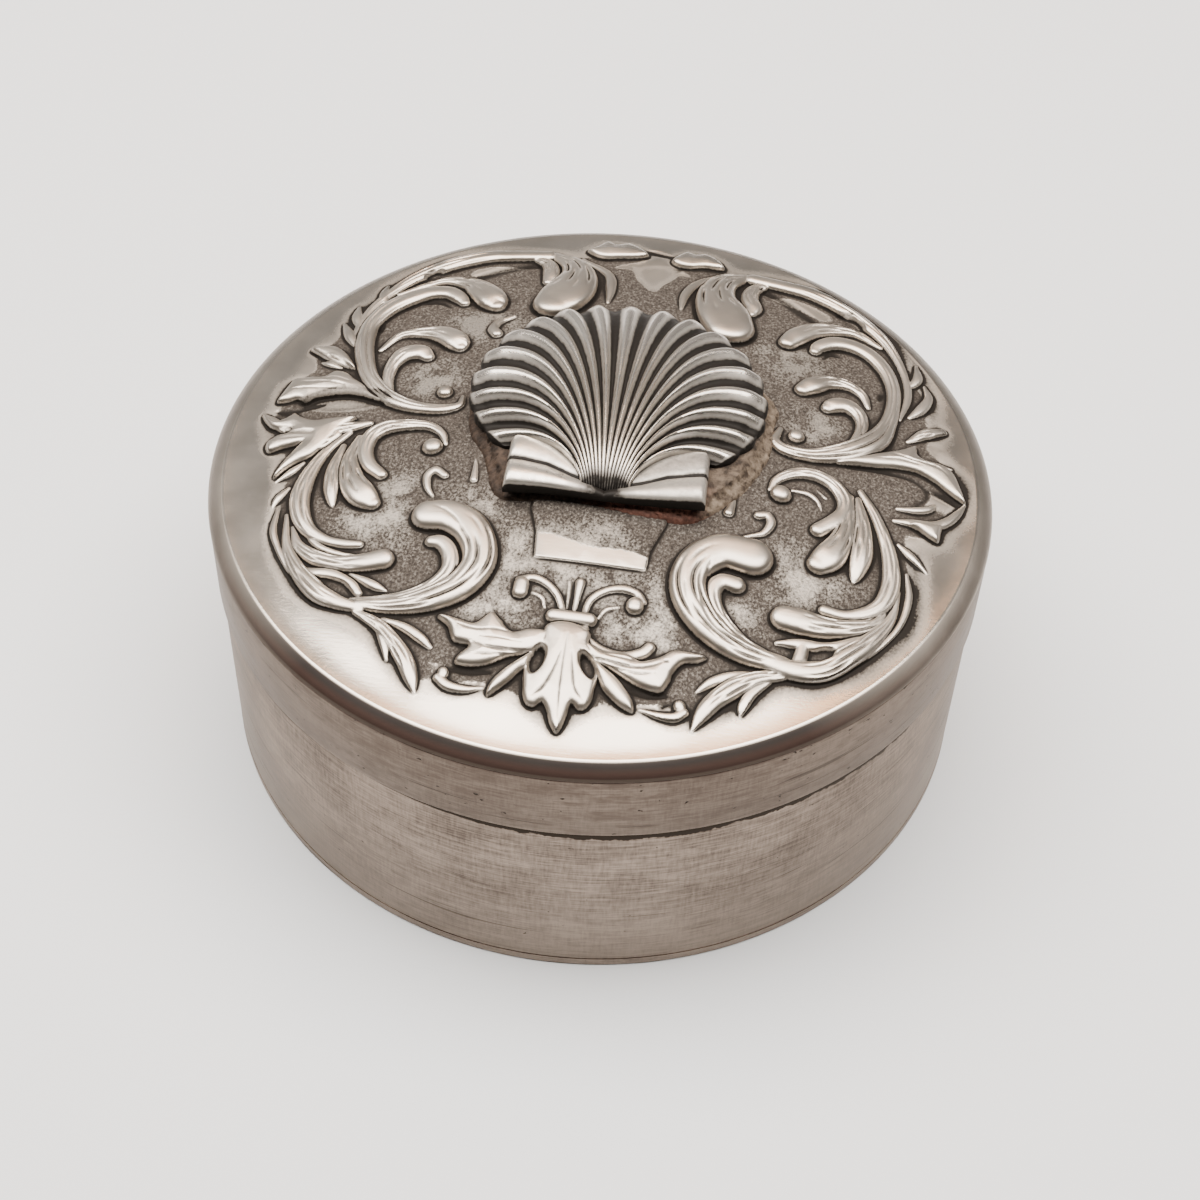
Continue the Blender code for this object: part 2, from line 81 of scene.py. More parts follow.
def grain(tree, stretch, detail=3.0, rough=0.55):
    """Noise on the object's own coordinates, stretched by that many cycles a metre each way."""
    place = node(tree, "ShaderNodeTexCoord").outputs["Object"]
    mapped = node(tree, "ShaderNodeMapping", Vector=place, Scale=stretch).outputs["Vector"]
    return node(tree, "ShaderNodeTexNoise", Vector=mapped, Scale=1.0, Detail=detail,
                Roughness=rough).outputs["Fac"]


def ramp(tree, value, low, high, start=0.0, end=1.0):
    """Maps a value from one range to another and holds it inside."""
    return node(tree, "ShaderNodeMapRange", Value=value, i1=low, i2=high, i3=start,
                i4=end).outputs["Result"]


def blend_colour(tree, factor, first, second):
    """Mixes two colours, each a socket or plain numbers."""
    mix = node(tree, "ShaderNodeMix", data_type="RGBA")
    tree.links.new(factor, mix.inputs[0])
    for place, colour in ((6, first), (7, second)):
        if isinstance(colour, bpy.types.NodeSocket):
            tree.links.new(colour, mix.inputs[place])
        else:
            mix.inputs[place].default_value = (*colour, 1)
    return mix.outputs[2]


def sums(tree, operation, first, second):
    """One arithmetic step between two values."""
    return node(tree, "ShaderNodeMath", operation=operation, i0=first, i1=second).outputs[0]


def weighted(tree, *terms):
    """Adds values, each times its weight."""
    total = 0.0
    for value, weight in terms:
        total = sums(tree, "ADD", total, sums(tree, "MULTIPLY", value, weight))
    return total


def bumped(tree, height, strength, distance):
    """The bent normal of a fine relief."""
    return node(tree, "ShaderNodeBump", Height=height, Strength=strength,
                Distance=distance).outputs["Normal"]


def wire(tree, shader, **sources):
    """Feeds the shader's sockets; an underscore stands for a space in a socket's name."""
    for key, source in sources.items():
        tree.links.new(source, shader.inputs[key.replace("_", " ")])


def brushed_silver():
    """Warm grey silver with a level grain, cloudy tarnish, scratches and small dark pits, painted light at
    the foot and a painted shadow under the lid.
    """
    bright, tarnish, brown = (0.285, 0.229, 0.188), (0.080, 0.062, 0.051), (0.082, 0.062, 0.050)
    painted_foot_light, dark, joint_brown = (0.36, 0.29, 0.235), (0.022, 0.017, 0.013), (0.050, 0.032, 0.026)
    material, tree, shader = new_finish("Brushed silver", bright, 0.36)
    shader.inputs["Specular Tint"].default_value = (0.86, 0.83, 0.80, 1)
    place = node(tree, "ShaderNodeTexCoord").outputs["Object"]
    height = node(tree, "ShaderNodeSeparateXYZ", Vector=place).outputs["Z"]
    wall_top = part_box("body_wall")[1][2]
    skirt_foot, skirt_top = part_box("lid_skirt")[0][2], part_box("lid_skirt")[1][2]
    painted_light_height, skirt_fade, solder_fade, solder_rim = 0.010, 0.0004, 0.0012, 0.0002
    joint_foot, joint_head = 0.00008, 0.00012
    shadow_widening, shadow_least, soft_below, soft_above = 0.00052, 0.00017, 0.00005, 0.00003
    long_lines = grain(tree, (130, 130, 3600), 3.0, 0.7)
    fine = grain(tree, (500, 500, 9000), 2.0, 0.6)
    across = grain(tree, (4600, 4600, 800), 2.0, 0.6)
    clouds = grain(tree, (100, 100, 150), 4.0, 0.6)
    blotches = grain(tree, (420, 420, 1300), 4.0, 0.65)
    scratches = grain(tree, (75, 75, 3900), 1.0, 0.4)
    specks = grain(tree, (1500, 1500, 2400), 2.0, 0.5)
    lines = weighted(tree, (long_lines, 0.34), (fine, 0.40), (across, 0.26))
    cloudy = weighted(tree, (lines, 0.72), (clouds, 0.28))
    colour = blend_colour(tree, ramp(tree, cloudy, 0.40, 0.59), tarnish, bright)
    on_skirt = ramp(tree, height, skirt_foot, skirt_foot + skirt_fade)
    colour = blend_colour(tree, sums(tree, "MULTIPLY", on_skirt, 0.56), colour, brown)
    # Painted light: the wall grows lighter towards its foot, to offset the shade that gathers there.
    colour = blend_colour(tree, ramp(tree, height, painted_light_height, 0.0, 0.0, 0.35), colour, painted_foot_light)
    blotchy = sums(tree, "MULTIPLY", ramp(tree, blotches, 0.48, 0.66),
                   ramp(tree, on_skirt, 0.0, 1.0, 0.2, 0.75))
    colour = blend_colour(tree, blotchy, colour, brown)
    by_solder = ramp(tree, height, skirt_top - solder_fade, skirt_top - solder_rim)
    limit = weighted(tree, (on_skirt, -0.045), (by_solder, -0.045), (1.0, 0.75))
    pits = ramp(tree, sums(tree, "SUBTRACT", specks, limit), 0.0, 0.025)
    joint = sums(tree, "ADD", height, sums(tree, "MULTIPLY", blotches, 0.0003))
    by_joint = ramp(tree, joint, skirt_top - joint_foot, skirt_top + joint_head, 0.0, 0.8)
    colour = blend_colour(tree, by_joint, colour, joint_brown)
    marks = sums(tree, "MAXIMUM", pits, ramp(tree, scratches, 0.69, 0.73, 0.0, 0.6))
    # Painted shadow under the lid's overhang: a ragged dark line below the skirt, widest at the front
    # right.
    facing = node(tree, "ShaderNodeVectorMath", operation="DOT_PRODUCT", i0=place,
                  i1=(0.45 / body_radius, -0.9 / body_radius, 0)).outputs["Value"]
    ragged = grain(tree, (700, 700, 700), 3.0, 0.7)
    shadow_share = sums(tree, "MULTIPLY", ramp(tree, facing, 0.7, 0.88, 0.05, 1.0),
                      ramp(tree, ragged, 0.3, 0.62, 0.3, 1.0))
    shadow_foot = weighted(tree, (shadow_share, -shadow_widening), (1.0, wall_top - shadow_least))
    below = sums(tree, "SUBTRACT", height, shadow_foot)
    seam_shadow = sums(tree, "MULTIPLY", ramp(tree, below, -soft_below, soft_above),
                ramp(tree, height, wall_top + soft_above, skirt_foot, 1.0, 0.0))
    colour = blend_colour(tree, sums(tree, "MAXIMUM", marks, seam_shadow), colour, dark)
    wire(tree, shader, Base_Color=colour, Roughness=ramp(tree, lines, 0.3, 0.7, 0.3, 0.48),
         Normal=bumped(tree, sums(tree, "SUBTRACT", lines, marks), 0.4, 0.00004))
    return material


def dress(piece, body, slot, *nodes):
    """A finished piece rides on its body and stands for its CAD nodes."""
    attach(piece, body)
    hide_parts(*nodes)


def placed(name, data):
    """A new object in the scene for a mesh, a lamp or a camera."""
    made = bpy.data.objects.new(name, data)
    bpy.context.collection.objects.link(made)
    return made


def shown(name, mesh, material):
    """An object for a finished mesh, smooth but for its sharp edges."""
    mesh.name = name
    mesh.materials.clear()
    mesh.materials.append(material)
    mesh.shade_smooth()
    mesh.set_sharp_from_angle(angle=math.radians(50))
    return placed(name, mesh)


body_finish = brushed_silver()
work = bmesh.new()
bmesh.ops.create_cone(work, cap_ends=True, segments=round_steps, radius1=body_radius,
                      radius2=body_radius, depth=plate_high[2] - plate_low[2])
bmesh.ops.translate(work, verts=work.verts, vec=(0, 0, (plate_high[2] + plate_low[2]) / 2))
foot = [edge for edge in work.edges if len(edge.link_faces) == 2
        and abs(edge.calc_face_angle() - math.pi / 2) < 0.1
        and edge.verts[0].co.z < plate_edge_radius]
bmesh.ops.bevel(work, geom=foot, offset=plate_edge_radius, segments=3, affect="EDGES", profile=0.5)
plate_mesh = bpy.data.meshes.new("bottom_disc")
work.to_mesh(plate_mesh)
work.free()
dress(shown("bottom_disc", plate_mesh, body_finish), "box", "body_silver", "bottom_plate")

# BODY WALL
# A strip of sheet silver rolled round and soldered end to end. It was planished by hand, so it
# wavers by a few hundredths of a millimetre, and its lip is rubbed a little round.
wall_low, wall_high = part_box("body_wall")
wall_thickness = 0.0009
lip_radius = 0.00014
wall_waver = 0.000028
merge_reach = 0.0000001


def band_tree():
    """Nodes that sweep a rounded strip round the axis and let it waver a little."""
    tree = bpy.data.node_groups.new("turned_band", "GeometryNodeTree")
    sides = tree.interface
    sides.new_socket("Geometry", in_out="OUTPUT", socket_type="NodeSocketGeometry")
    for label in ("Outer Radius", "Thickness", "Low", "High", "Rounding", "Waver"):
        sides.new_socket(label, in_out="INPUT", socket_type="NodeSocketFloat")
    sides.new_socket("Finish", in_out="INPUT", socket_type="NodeSocketMaterial")
    given = tree.nodes.new("NodeGroupInput").outputs
    path_radius = sums(tree, "SUBTRACT", given["Outer Radius"],
                       sums(tree, "MULTIPLY", given["Thickness"], 0.5))
    tall = sums(tree, "SUBTRACT", given["High"], given["Low"])
    middle = sums(tree, "MULTIPLY", sums(tree, "ADD", given["High"], given["Low"]), 0.5)
    path = node(tree, "GeometryNodeCurvePrimitiveCircle", Resolution=round_steps, Radius=path_radius)
    strip = node(tree, "GeometryNodeCurvePrimitiveQuadrilateral", Width=given["Thickness"], Height=tall)
    rounded = node(tree, "GeometryNodeFilletCurve", Curve=strip.outputs[0])
    if "Mode" in rounded.inputs:
        rounded.inputs["Mode"].default_value = "Poly"
    else:
        rounded.mode = "POLY"
    rounded.inputs["Count"].default_value = 3
    tree.links.new(given["Rounding"], rounded.inputs["Radius"])
    swept = node(tree, "GeometryNodeCurveToMesh", Curve=path.outputs[0], Profile_Curve=rounded.outputs[0])
    place = node(tree, "GeometryNodeInputPosition").outputs[0]
    noise = node(tree, "ShaderNodeTexNoise", Vector=place, Scale=95.0, Detail=1.0)
    centred = sums(tree, "SUBTRACT", noise.outputs[0], 0.5)
    swell = sums(tree, "MULTIPLY", centred, given["Waver"])
    outwards = node(tree, "ShaderNodeVectorMath", operation="MULTIPLY", i0=place, i1=(1, 1, 0))
    outwards = node(tree, "ShaderNodeVectorMath", operation="NORMALIZE", i0=outwards.outputs[0])
    move = node(tree, "ShaderNodeVectorMath", operation="SCALE", i0=outwards.outputs[0], Scale=swell)
    raised = node(tree, "ShaderNodeCombineXYZ", Z=middle)
    offset = node(tree, "ShaderNodeVectorMath", operation="ADD", i0=move.outputs[0], i1=raised.outputs[0])
    moved = node(tree, "GeometryNodeSetPosition", Geometry=swept.outputs[0], Offset=offset.outputs[0])
    real = node(tree, "GeometryNodeRealizeInstances", Geometry=moved.outputs[0])
    done = node(tree, "GeometryNodeSetMaterial", Geometry=real.outputs[0], Material=given["Finish"])
    tree.links.new(done.outputs[0], tree.nodes.new("NodeGroupOutput").inputs[0])
    return tree


def outward(mesh, merge=0.0):
    """The same mesh with its faces turned outwards, and its near points merged if asked."""
    clean = bmesh.new()
    clean.from_mesh(mesh)
    if merge:
        bmesh.ops.remove_doubles(clean, verts=clean.verts, dist=merge)
    bmesh.ops.recalc_face_normals(clean, faces=clean.faces)
    clean.to_mesh(mesh)
    clean.free()
    return mesh


def finished_mesh(holder):
    """The mesh that a holder's modifiers give; the holder goes."""
    graph = bpy.context.evaluated_depsgraph_get()
    graph.update()
    mesh = bpy.data.meshes.new_from_object(holder.evaluated_get(graph), depsgraph=graph)
    bpy.data.objects.remove(holder)
    return mesh


def grown(name, tree, values):
    """Runs a node tree with named inputs and returns the result as a plain mesh."""
    holder = placed(name, bpy.data.meshes.new(name))
    modifier = holder.modifiers.new("Nodes", "NODES")
    modifier.node_group = tree
    for item in tree.interface.items_tree:
        if item.in_out == "INPUT" and item.name in values:
            modifier[item.identifier] = values[item.name]
    return outward(finished_mesh(holder), merge_reach)


bands = band_tree()


def make_band(name, outer, thickness, low, high, rounding, waver, material):
    """A straight round wall of sheet silver."""
    values = {"Outer Radius": outer, "Thickness": thickness, "Low": low, "High": high,
              "Rounding": rounding, "Waver": waver, "Finish": material}
    return shown(name, grown(name, bands, values), material)


wall = make_band("wall_strip", wall_high[0] - wall_waver / 2, wall_thickness, wall_low[2], wall_high[2],
                 lip_radius, wall_waver, body_finish)
dress(wall, "box", "body_silver", "body_wall")

# INNER COLLAR
# A thinner sleeve soldered inside the mouth of the body. It is hidden while the box is shut,
# so it has kept a cleaner colour, with rings where the lid slides on and off.
collar_low, collar_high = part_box("inner_collar")
collar_thickness = 0.0005
collar_finish, collar_nodes, collar_shader = new_finish("Sleeve silver", (0.78, 0.75, 0.70), 0.3)
slide_marks = grain(collar_nodes, (260, 260, 2600), 3.0)
sleeve_dull, sleeve_clean = (0.62, 0.58, 0.52), (0.82, 0.79, 0.74)
wire(collar_nodes, collar_shader,
     Base_Color=blend_colour(collar_nodes, slide_marks, sleeve_dull, sleeve_clean),
     Roughness=ramp(collar_nodes, slide_marks, 0.35, 0.65, 0.2, 0.42))
collar = make_band("collar_sleeve", collar_high[0], collar_thickness, collar_low[2], collar_high[2],
                   collar_thickness / 3, 0.0, collar_finish)
dress(collar, "box", "inner_silver", "inner_collar")

# LID SKIRT
# The wall of the lid, a strip like the body's. Its lower lip is rubbed round where it meets the
# body; the thin dark line below it all the way round is a painted shadow on the body wall.
skirt_low, skirt_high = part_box("lid_skirt")
skirt_thickness = 0.00108
skirt = make_band("skirt_strip", skirt_high[0] - wall_waver / 2, skirt_thickness, skirt_low[2],
                  skirt_high[2], lip_radius, wall_waver, body_finish)
dress(skirt, "lid", "body_silver", "lid_skirt")

# LID BORDER
# The plain polished margin of the embossed top, with its edge rubbed round above the solder
# joint. Years of handling left it soft, bright and faintly scratched.
top_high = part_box("lid_plate")[1]
lid_radius = top_high[0]
sheet_thickness = 0.0009
border_height = skirt_high[2] + sheet_thickness
edge_wide, edge_tall = 0.0013, 0.00088
dome_radius = 0.93 * lid_radius
dome_rise = top_high[2] - border_height
rim_ease = (0.90, 1.03)
margin_share = 0.955
border_steps, edge_points = 360, 19
corner_inset = 0.00001


def dome(radius):
    """Height of the smooth top face at a distance from the axis; it eases into the flat margin."""
    u = np.asarray(radius) / dome_radius
    start, end = rim_ease
    s = np.clip((u - start) / (end - start), 0, 1)
    eased = (1 - start ** 2) * (1 - 3 * s ** 2 + 2 * s ** 3)
    eased -= 2 * start * (end - start) * (s - 2 * s ** 2 + s ** 3)
    return border_height + dome_rise * np.where(u < start, 1 - u ** 2, eased)


def read_attribute(tree, label):
    """A number kept on the mesh; it is zero where the mesh has none."""
    return node(tree, "ShaderNodeAttribute", attribute_name=label).outputs["Fac"]


def lid_silver():
    """Silver darkened in its hollows by oxide and painted shade and on its stippled ground, rubbed bright
    elsewhere.
    """
    bright, hazy = (0.67, 0.60, 0.525), (0.53, 0.47, 0.405)
    dull, faint = (0.084, 0.071, 0.061), (0.032, 0.026, 0.022)
    worn_ground, dark = (0.37, 0.34, 0.30), (0.010, 0.0077, 0.006)
    painted_edge_shade, edge_brown, lip_brown = (0.034, 0.029, 0.027), (0.062, 0.040, 0.034), (0.115, 0.090, 0.074)
    material, tree, shader = new_finish("Oxidised silver", bright, 0.18)
    depth, floor, rubbed = (read_attribute(tree, label) for label in ("oxide_and_shade", "ground", "rubbed"))
    haze = grain(tree, (150, 150, 150), 4.0, 0.6)
    hairs = grain(tree, (900, 5200, 900), 2.0, 0.5)
    mottle = grain(tree, (520, 430, 520), 3.0, 0.6)
    stipple = grain(tree, (5200, 4300, 5200), 2.5, 0.75)
    floor = ramp(tree, weighted(tree, (floor, 1.0), (stipple, 0.9), (1.0, -0.45)), 0.36, 0.62)
    colour = blend_colour(tree, ramp(tree, haze, 0.3, 0.7), hazy, bright)
    patch = sums(tree, "MULTIPLY", ramp(tree, mottle, 0.36, 0.6), rubbed)
    dots = ramp(tree, weighted(tree, (stipple, 1.0), (patch, 0.42)), 0.55, 0.93)
    tinted = blend_colour(tree, ramp(tree, stipple, 0.36, 0.56), faint, dull)
    ground_colour = blend_colour(tree, dots, tinted, worn_ground)
    colour = blend_colour(tree, floor, colour, ground_colour)
    speckle = weighted(tree, (stipple, 0.4), (1.0, -0.2))
    # Oxide and painted shade darken the colour.
    shade = ramp(tree, sums(tree, "ADD", depth, speckle), 0.16, 0.82)
    colour = blend_colour(tree, shade, colour, dark)
    # Over the rounded edge: painted shade in grey at the top, the dark joint in browns below.
    joint_and_shade = read_attribute(tree, "joint_and_shade")
    place = node(tree, "ShaderNodeTexCoord").outputs["Object"]
    height = node(tree, "ShaderNodeSeparateXYZ", Vector=place).outputs["Z"]
    drop = sums(tree, "SUBTRACT", border_height, height)
    joint = blend_colour(tree, ramp(tree, drop, 0.00022, 0.00045), painted_edge_shade, edge_brown)
    joint = blend_colour(tree, ramp(tree, drop, 0.00066, 0.00074), joint, lip_brown)
    colour = blend_colour(tree, joint_and_shade, colour, joint)
    unrubbed = ramp(tree, dots, 0.0, 1.0, 1.0, 0.2)
    matt = sums(tree, "MAXIMUM", sums(tree, "MULTIPLY", floor, unrubbed), shade)
    rough = weighted(tree, (ramp(tree, haze, 0.3, 0.7, 0.17, 0.25), 1.0),
                     (read_attribute(tree, "worked"), 0.14), (matt, 0.35), (joint_and_shade, 0.4))
    lift = weighted(tree, (sums(tree, "MULTIPLY", stipple, floor), 0.8), (stipple, 0.1), (hairs, 0.08))
    wire(tree, shader, Base_Color=colour, Metallic=ramp(tree, matt, 0.0, 1.0, 1.0, 0.35), Roughness=rough,
         Specular_IOR_Level=ramp(tree, matt, 0.0, 1.0, 0.5, 0.2),
         Normal=bumped(tree, lift, 0.7, 0.00007))
    return material


def attribute(mesh, name, values):
    """Keeps one number for each vertex under a name that a material reads."""
    kept = mesh.attributes.new(name, "FLOAT", "POINT")
    kept.data.foreach_set("value", np.asarray(values, dtype=np.float32))


def ring_quads(rings, steps, closed):
    """Faces between rings of points, and from the last ring to the first if closed."""
    faces = []
    for low in range(rings if closed else rings - 1):
        high = (low + 1) % rings
        for step in range(steps):
            after = (step + 1) % steps
            faces.append((low * steps + step, low * steps + after, high * steps + after,
                          high * steps + step))
    return faces


def faced_mesh(name, vertices, faces):
    """A closed mesh of these points and faces, turned outwards."""
    mesh = bpy.data.meshes.new(name)
    mesh.from_pydata(vertices.tolist(), [], faces)
    return outward(mesh)


def lathe(name, profile, steps, material):
    """Turns a closed outline of (radius, height) round the axis."""
    turns = np.linspace(0, 2 * math.pi, steps, endpoint=False)
    ring = np.stack([np.cos(turns), np.sin(turns)], 1)
    vertices = np.concatenate([np.column_stack([ring * r, np.full(steps, z)]) for r, z in profile])
    faces = ring_quads(len(profile), steps, True)
    return shown(name, faced_mesh(name, vertices, faces), material)


margin_radius = margin_share * lid_radius
border_outline = [(margin_radius, float(dome(margin_radius)) - sheet_thickness),
                  (lid_radius - edge_wide, skirt_high[2]), (lid_radius - corner_inset, skirt_high[2])]
for step in range(edge_points):
    turn = math.pi / 2 * step / (edge_points - 1)
    border_outline.append((lid_radius - edge_wide * (1 - abs(math.cos(turn)) ** 1.5),
                           border_height - edge_tall * (1 - math.sin(turn) ** 1.5)))
flat_start = lid_radius - edge_wide
for share in (0.8, 0.6, 0.4, 0.2, 0.0):
    radius = margin_radius + share * (flat_start - margin_radius)
    border_outline.append((radius, float(dome(radius))))
lid_finish = lid_silver()
border = lathe("lid_border", border_outline, border_steps, lid_finish)
# The dark joint and a painted shade reach up over the rounded edge, strongest in front.
shade_drop, shade_fade = 0.00002, 0.00006
edge_shade = [min(1.0, max(0.0, (border_height - shade_drop - z) / shade_fade)) * (r > flat_start)
              for r, z in border_outline]
border_turns = np.linspace(0, 2 * math.pi, border_steps, endpoint=False)
in_front = np.clip((-np.sin(border_turns) - 0.25) / 0.55, 0, 1)
attribute(border.data, "joint_and_shade", np.outer(edge_shade, 0.5 + 0.5 * in_front).ravel())
dress(border, "lid", "embossed_silver", "lid_plate")

# EMBOSSED FIELD
# The pillowed middle of the top: acanthus scrolls, palmettes and side cartouches stamped up from
# below, on a stippled ground. The hollows are dark with oxide and painted shade, the crests rubbed bright.

# Places here are thousandths of the lid's radius. A leaf is a spine of (x, y, half width).
front_right_leaves = (
    ((520, -620, 22), (420, -605, 28), (340, -560, 36), (285, -490, 42), (270, -420, 43),
     (295, -360, 46), (345, -325, 47), (412, -328, 50)),
    ((500, -600, 8), (430, -580, 13), (375, -540, 18), (340, -490, 20), (332, -445, 21), (350, -415, 21),
     (385, -418, 22)),
    ((435, -90, 6), (450, -50, 12), (490, -18, 16), (540, -10, 18), (590, -30, 19), (622, -75, 20),
     (622, -120, 20), (600, -160, 22), (565, -195, 20)),
    ((462, -100, 24), (464, -101, 24)),
    ((635, -60, 10), (635, -140, 18), (622, -220, 30), (598, -275, 37), (575, -305, 28)),
    ((655, -60, 8), (672, -150, 20), (675, -240, 27), (668, -300, 18), (662, -335, 3)),
    ((660, -30, 8), (700, -100, 13), (735, -190, 17), (752, -270, 21), (752, -330, 22), (735, -385, 21),
     (700, -420, 18), (650, -440, 14), (600, -438, 14)),
    ((750, -390, 6), (720, -445, 16), (670, -475, 22), (610, -490, 28), (550, -490, 34),
     (508, -488, 32)),
    ((775, -330, 5), (760, -420, 12), (715, -500, 22), (665, -560, 28), (610, -612, 28), (550, -628, 26),
     (480, -620, 22)),
    ((700, -500, 14), (620, -542, 14), (550, -550, 14), (500, -560, 8)),
    ((560, -550, 14), (555, -600, 18)),
    ((790, -270, 4), (800, -340, 9), (787, -420, 8), (752, -490, 7), (700, -557, 7), (650, -605, 4)),
    ((765, -180, 5), (800, -213, 11), (838, -250, 3)),
    ((540, -640, 10), (470, -665, 18), (420, -700, 24), (375, -745, 22), (350, -785, 18),
     (330, -835, 3)),
    ((480, -655, 8), (410, -672, 12), (360, -700, 12), (325, -735, 3)),
    ((490, -670, 8), (455, -710, 13), (438, -750, 12), (435, -775, 3)),
    ((415, -185, 11), (438, -180, 11), (448, -205, 11), (432, -240, 8), (400, -256, 5), (350, -285, 4),
     (300, -310, 4), (260, -360, 3)),
)
front_left_leaves = (
    ((-500, -600, 14), (-420, -600, 20), (-340, -580, 30), (-270, -535, 37), (-235, -470, 39),
     (-240, -410, 41), (-275, -352, 44), (-330, -322, 43), (-382, -322, 40)),
    ((-520, -585, 6), (-450, -580, 10), (-380, -565, 16), (-325, -530, 20), (-300, -480, 20),
     (-310, -430, 20), (-335, -402, 19), (-360, -400, 15)),
    ((-390, -70, 6), (-405, -35, 10), (-440, -10, 13), (-490, -8, 17), (-550, -20, 22), (-585, -55, 22),
     (-590, -110, 21), (-568, -158, 19), (-530, -190, 15)),
    ((-420, -85, 24), (-421, -86, 24)),
    ((-615, -60, 10), (-622, -140, 20), (-600, -215, 31), (-565, -262, 35), (-532, -288, 20)),
    ((-650, -90, 8), (-658, -170, 16), (-648, -235, 19), (-637, -280, 11), (-628, -305, 2)),
    ((-645, -40, 8), (-690, -110, 13), (-715, -190, 20), (-720, -270, 25), (-702, -335, 23),
     (-668, -383, 18), (-620, -410, 13), (-570, -420, 12), (-535, -420, 10)),
    ((-690, -375, 4), (-640, -425, 8), (-580, -450, 7), (-520, -455, 3)),
    ((-715, -370, 5), (-685, -430, 14), (-630, -468, 20), (-570, -483, 21), (-510, -477, 25),
     (-467, -465, 27)),
    ((-740, -330, 5), (-715, -430, 12), (-665, -510, 20), (-605, -570, 25), (-550, -597, 19),
     (-490, -610, 12)),
    ((-640, -510, 13), (-580, -515, 13), (-530, -540, 12), (-505, -567, 10)),
    ((-545, -507, 3), (-500, -528, 10), (-465, -545, 11), (-438, -555, 3)),
    ((-740, -150, 5), (-765, -185, 10), (-795, -218, 3)),
    ((-757, -240, 5), (-775, -275, 10), (-783, -303, 3)),
    ((-767, -310, 4), (-762, -380, 9), (-737, -435, 8), (-700, -495, 6), (-670, -535, 3)),
    ((-500, -620, 9), (-440, -653, 15), (-395, -695, 18), (-355, -745, 20), (-332, -790, 16),
     (-315, -830, 3)),
    ((-430, -637, 6), (-375, -655, 11), (-330, -682, 12), (-303, -705, 6)),
    ((-440, -660, 6), (-412, -705, 11), (-398, -748, 4)),
    ((-370, -182, 10), (-395, -165, 11), (-413, -185, 10), (-405, -225, 8), (-385, -255, 4)),
)
back_right_leaves = (
    ((440, 140, 6), (430, 90, 12), (460, 62, 15), (520, 58, 18), (580, 78, 24), (640, 115, 30),
     (690, 175, 27), (715, 250, 19), (725, 330, 16), (722, 400, 17), (700, 470, 19), (660, 525, 21),
     (610, 552, 22), (555, 550, 22), (515, 520, 18), (505, 497, 13)),
    ((483, 120, 17), (484, 121, 17)),
    ((600, 100, 10), (635, 150, 13), (648, 210, 14), (638, 255, 18), (605, 280, 22), (570, 272, 21),
     (555, 257, 15)),
    ((660, 300, 6), (642, 345, 12), (600, 370, 17), (550, 365, 21), (510, 337, 25), (485, 312, 19)),
    ((680, 585, 6), (610, 622, 15), (545, 613, 21), (490, 585, 25), (452, 545, 27), (430, 510, 22)),
    ((745, 280, 4), (762, 380, 9), (752, 470, 9), (715, 570, 12), (660, 650, 18), (575, 725, 22),
     (480, 775, 22), (400, 790, 21), (310, 800, 20)),
    ((290, 805, 14), (235, 755, 32), (218, 695, 42), (225, 635, 50), (250, 575, 60), (270, 525, 56)),
    ((350, 785, 12), (315, 740, 18), (310, 690, 21), (325, 650, 20), (320, 620, 13)),
    ((220, 800, 6), (160, 735, 11), (133, 665, 11), (130, 590, 4)),
    ((770, 300, 5), (800, 345, 13), (818, 400, 10), (805, 450, 3)),
    ((770, 200, 5), (815, 245, 15), (860, 270, 10)),
    ((755, 420, 4), (785, 470, 12), (780, 530, 3)),
)
back_left_leaves = (
    ((-380, 110, 6), (-385, 75, 10), (-430, 57, 14), (-500, 62, 17), (-560, 87, 20), (-610, 132, 20),
     (-650, 195, 20), (-680, 280, 22), (-692, 350, 22), (-690, 420, 22), (-660, 490, 25),
     (-610, 542, 26), (-560, 572, 24), (-510, 575, 22), (-475, 552, 19), (-457, 530, 13)),
    ((-430, 125, 17), (-431, 126, 17)),
    ((-570, 100, 10), (-592, 170, 13), (-592, 230, 17), (-570, 275, 23), (-530, 287, 23),
     (-505, 270, 15)),
    ((-640, 300, 6), (-600, 365, 12), (-530, 378, 19), (-480, 367, 27), (-442, 340, 29),
     (-427, 318, 16)),
    ((-650, 570, 6), (-540, 640, 13), (-460, 625, 22), (-420, 588, 33), (-385, 547, 36),
     (-367, 520, 22)),
    ((-710, 300, 4), (-725, 380, 9), (-715, 480, 10), (-675, 570, 13), (-620, 650, 18), (-535, 725, 22),
     (-440, 775, 22), (-360, 790, 21), (-270, 800, 20)),
    ((-250, 805, 14), (-190, 755, 30), (-168, 695, 42), (-172, 635, 53), (-190, 580, 58),
     (-212, 540, 48)),
    ((-300, 785, 12), (-258, 750, 18), (-245, 700, 20), (-248, 660, 13)),
    ((-170, 800, 6), (-90, 730, 11), (-72, 655, 12), (-70, 580, 4)),
    ((-700, 220, 5), (-750, 265, 20), (-800, 293, 14), (-826, 300, 4)),
    ((-730, 222, 4), (-763, 238, 9), (-787, 245, 4)),
    ((-710, 310, 4), (-740, 365, 13), (-768, 420, 5)),
    ((-715, 390, 4), (-740, 450, 13), (-747, 505, 4)),
    ((-670, 510, 4), (-690, 560, 12), (-690, 610, 4)),
    ((-310, 475, 6), (-345, 445, 10), (-356, 410, 12), (-342, 388, 14)),
)
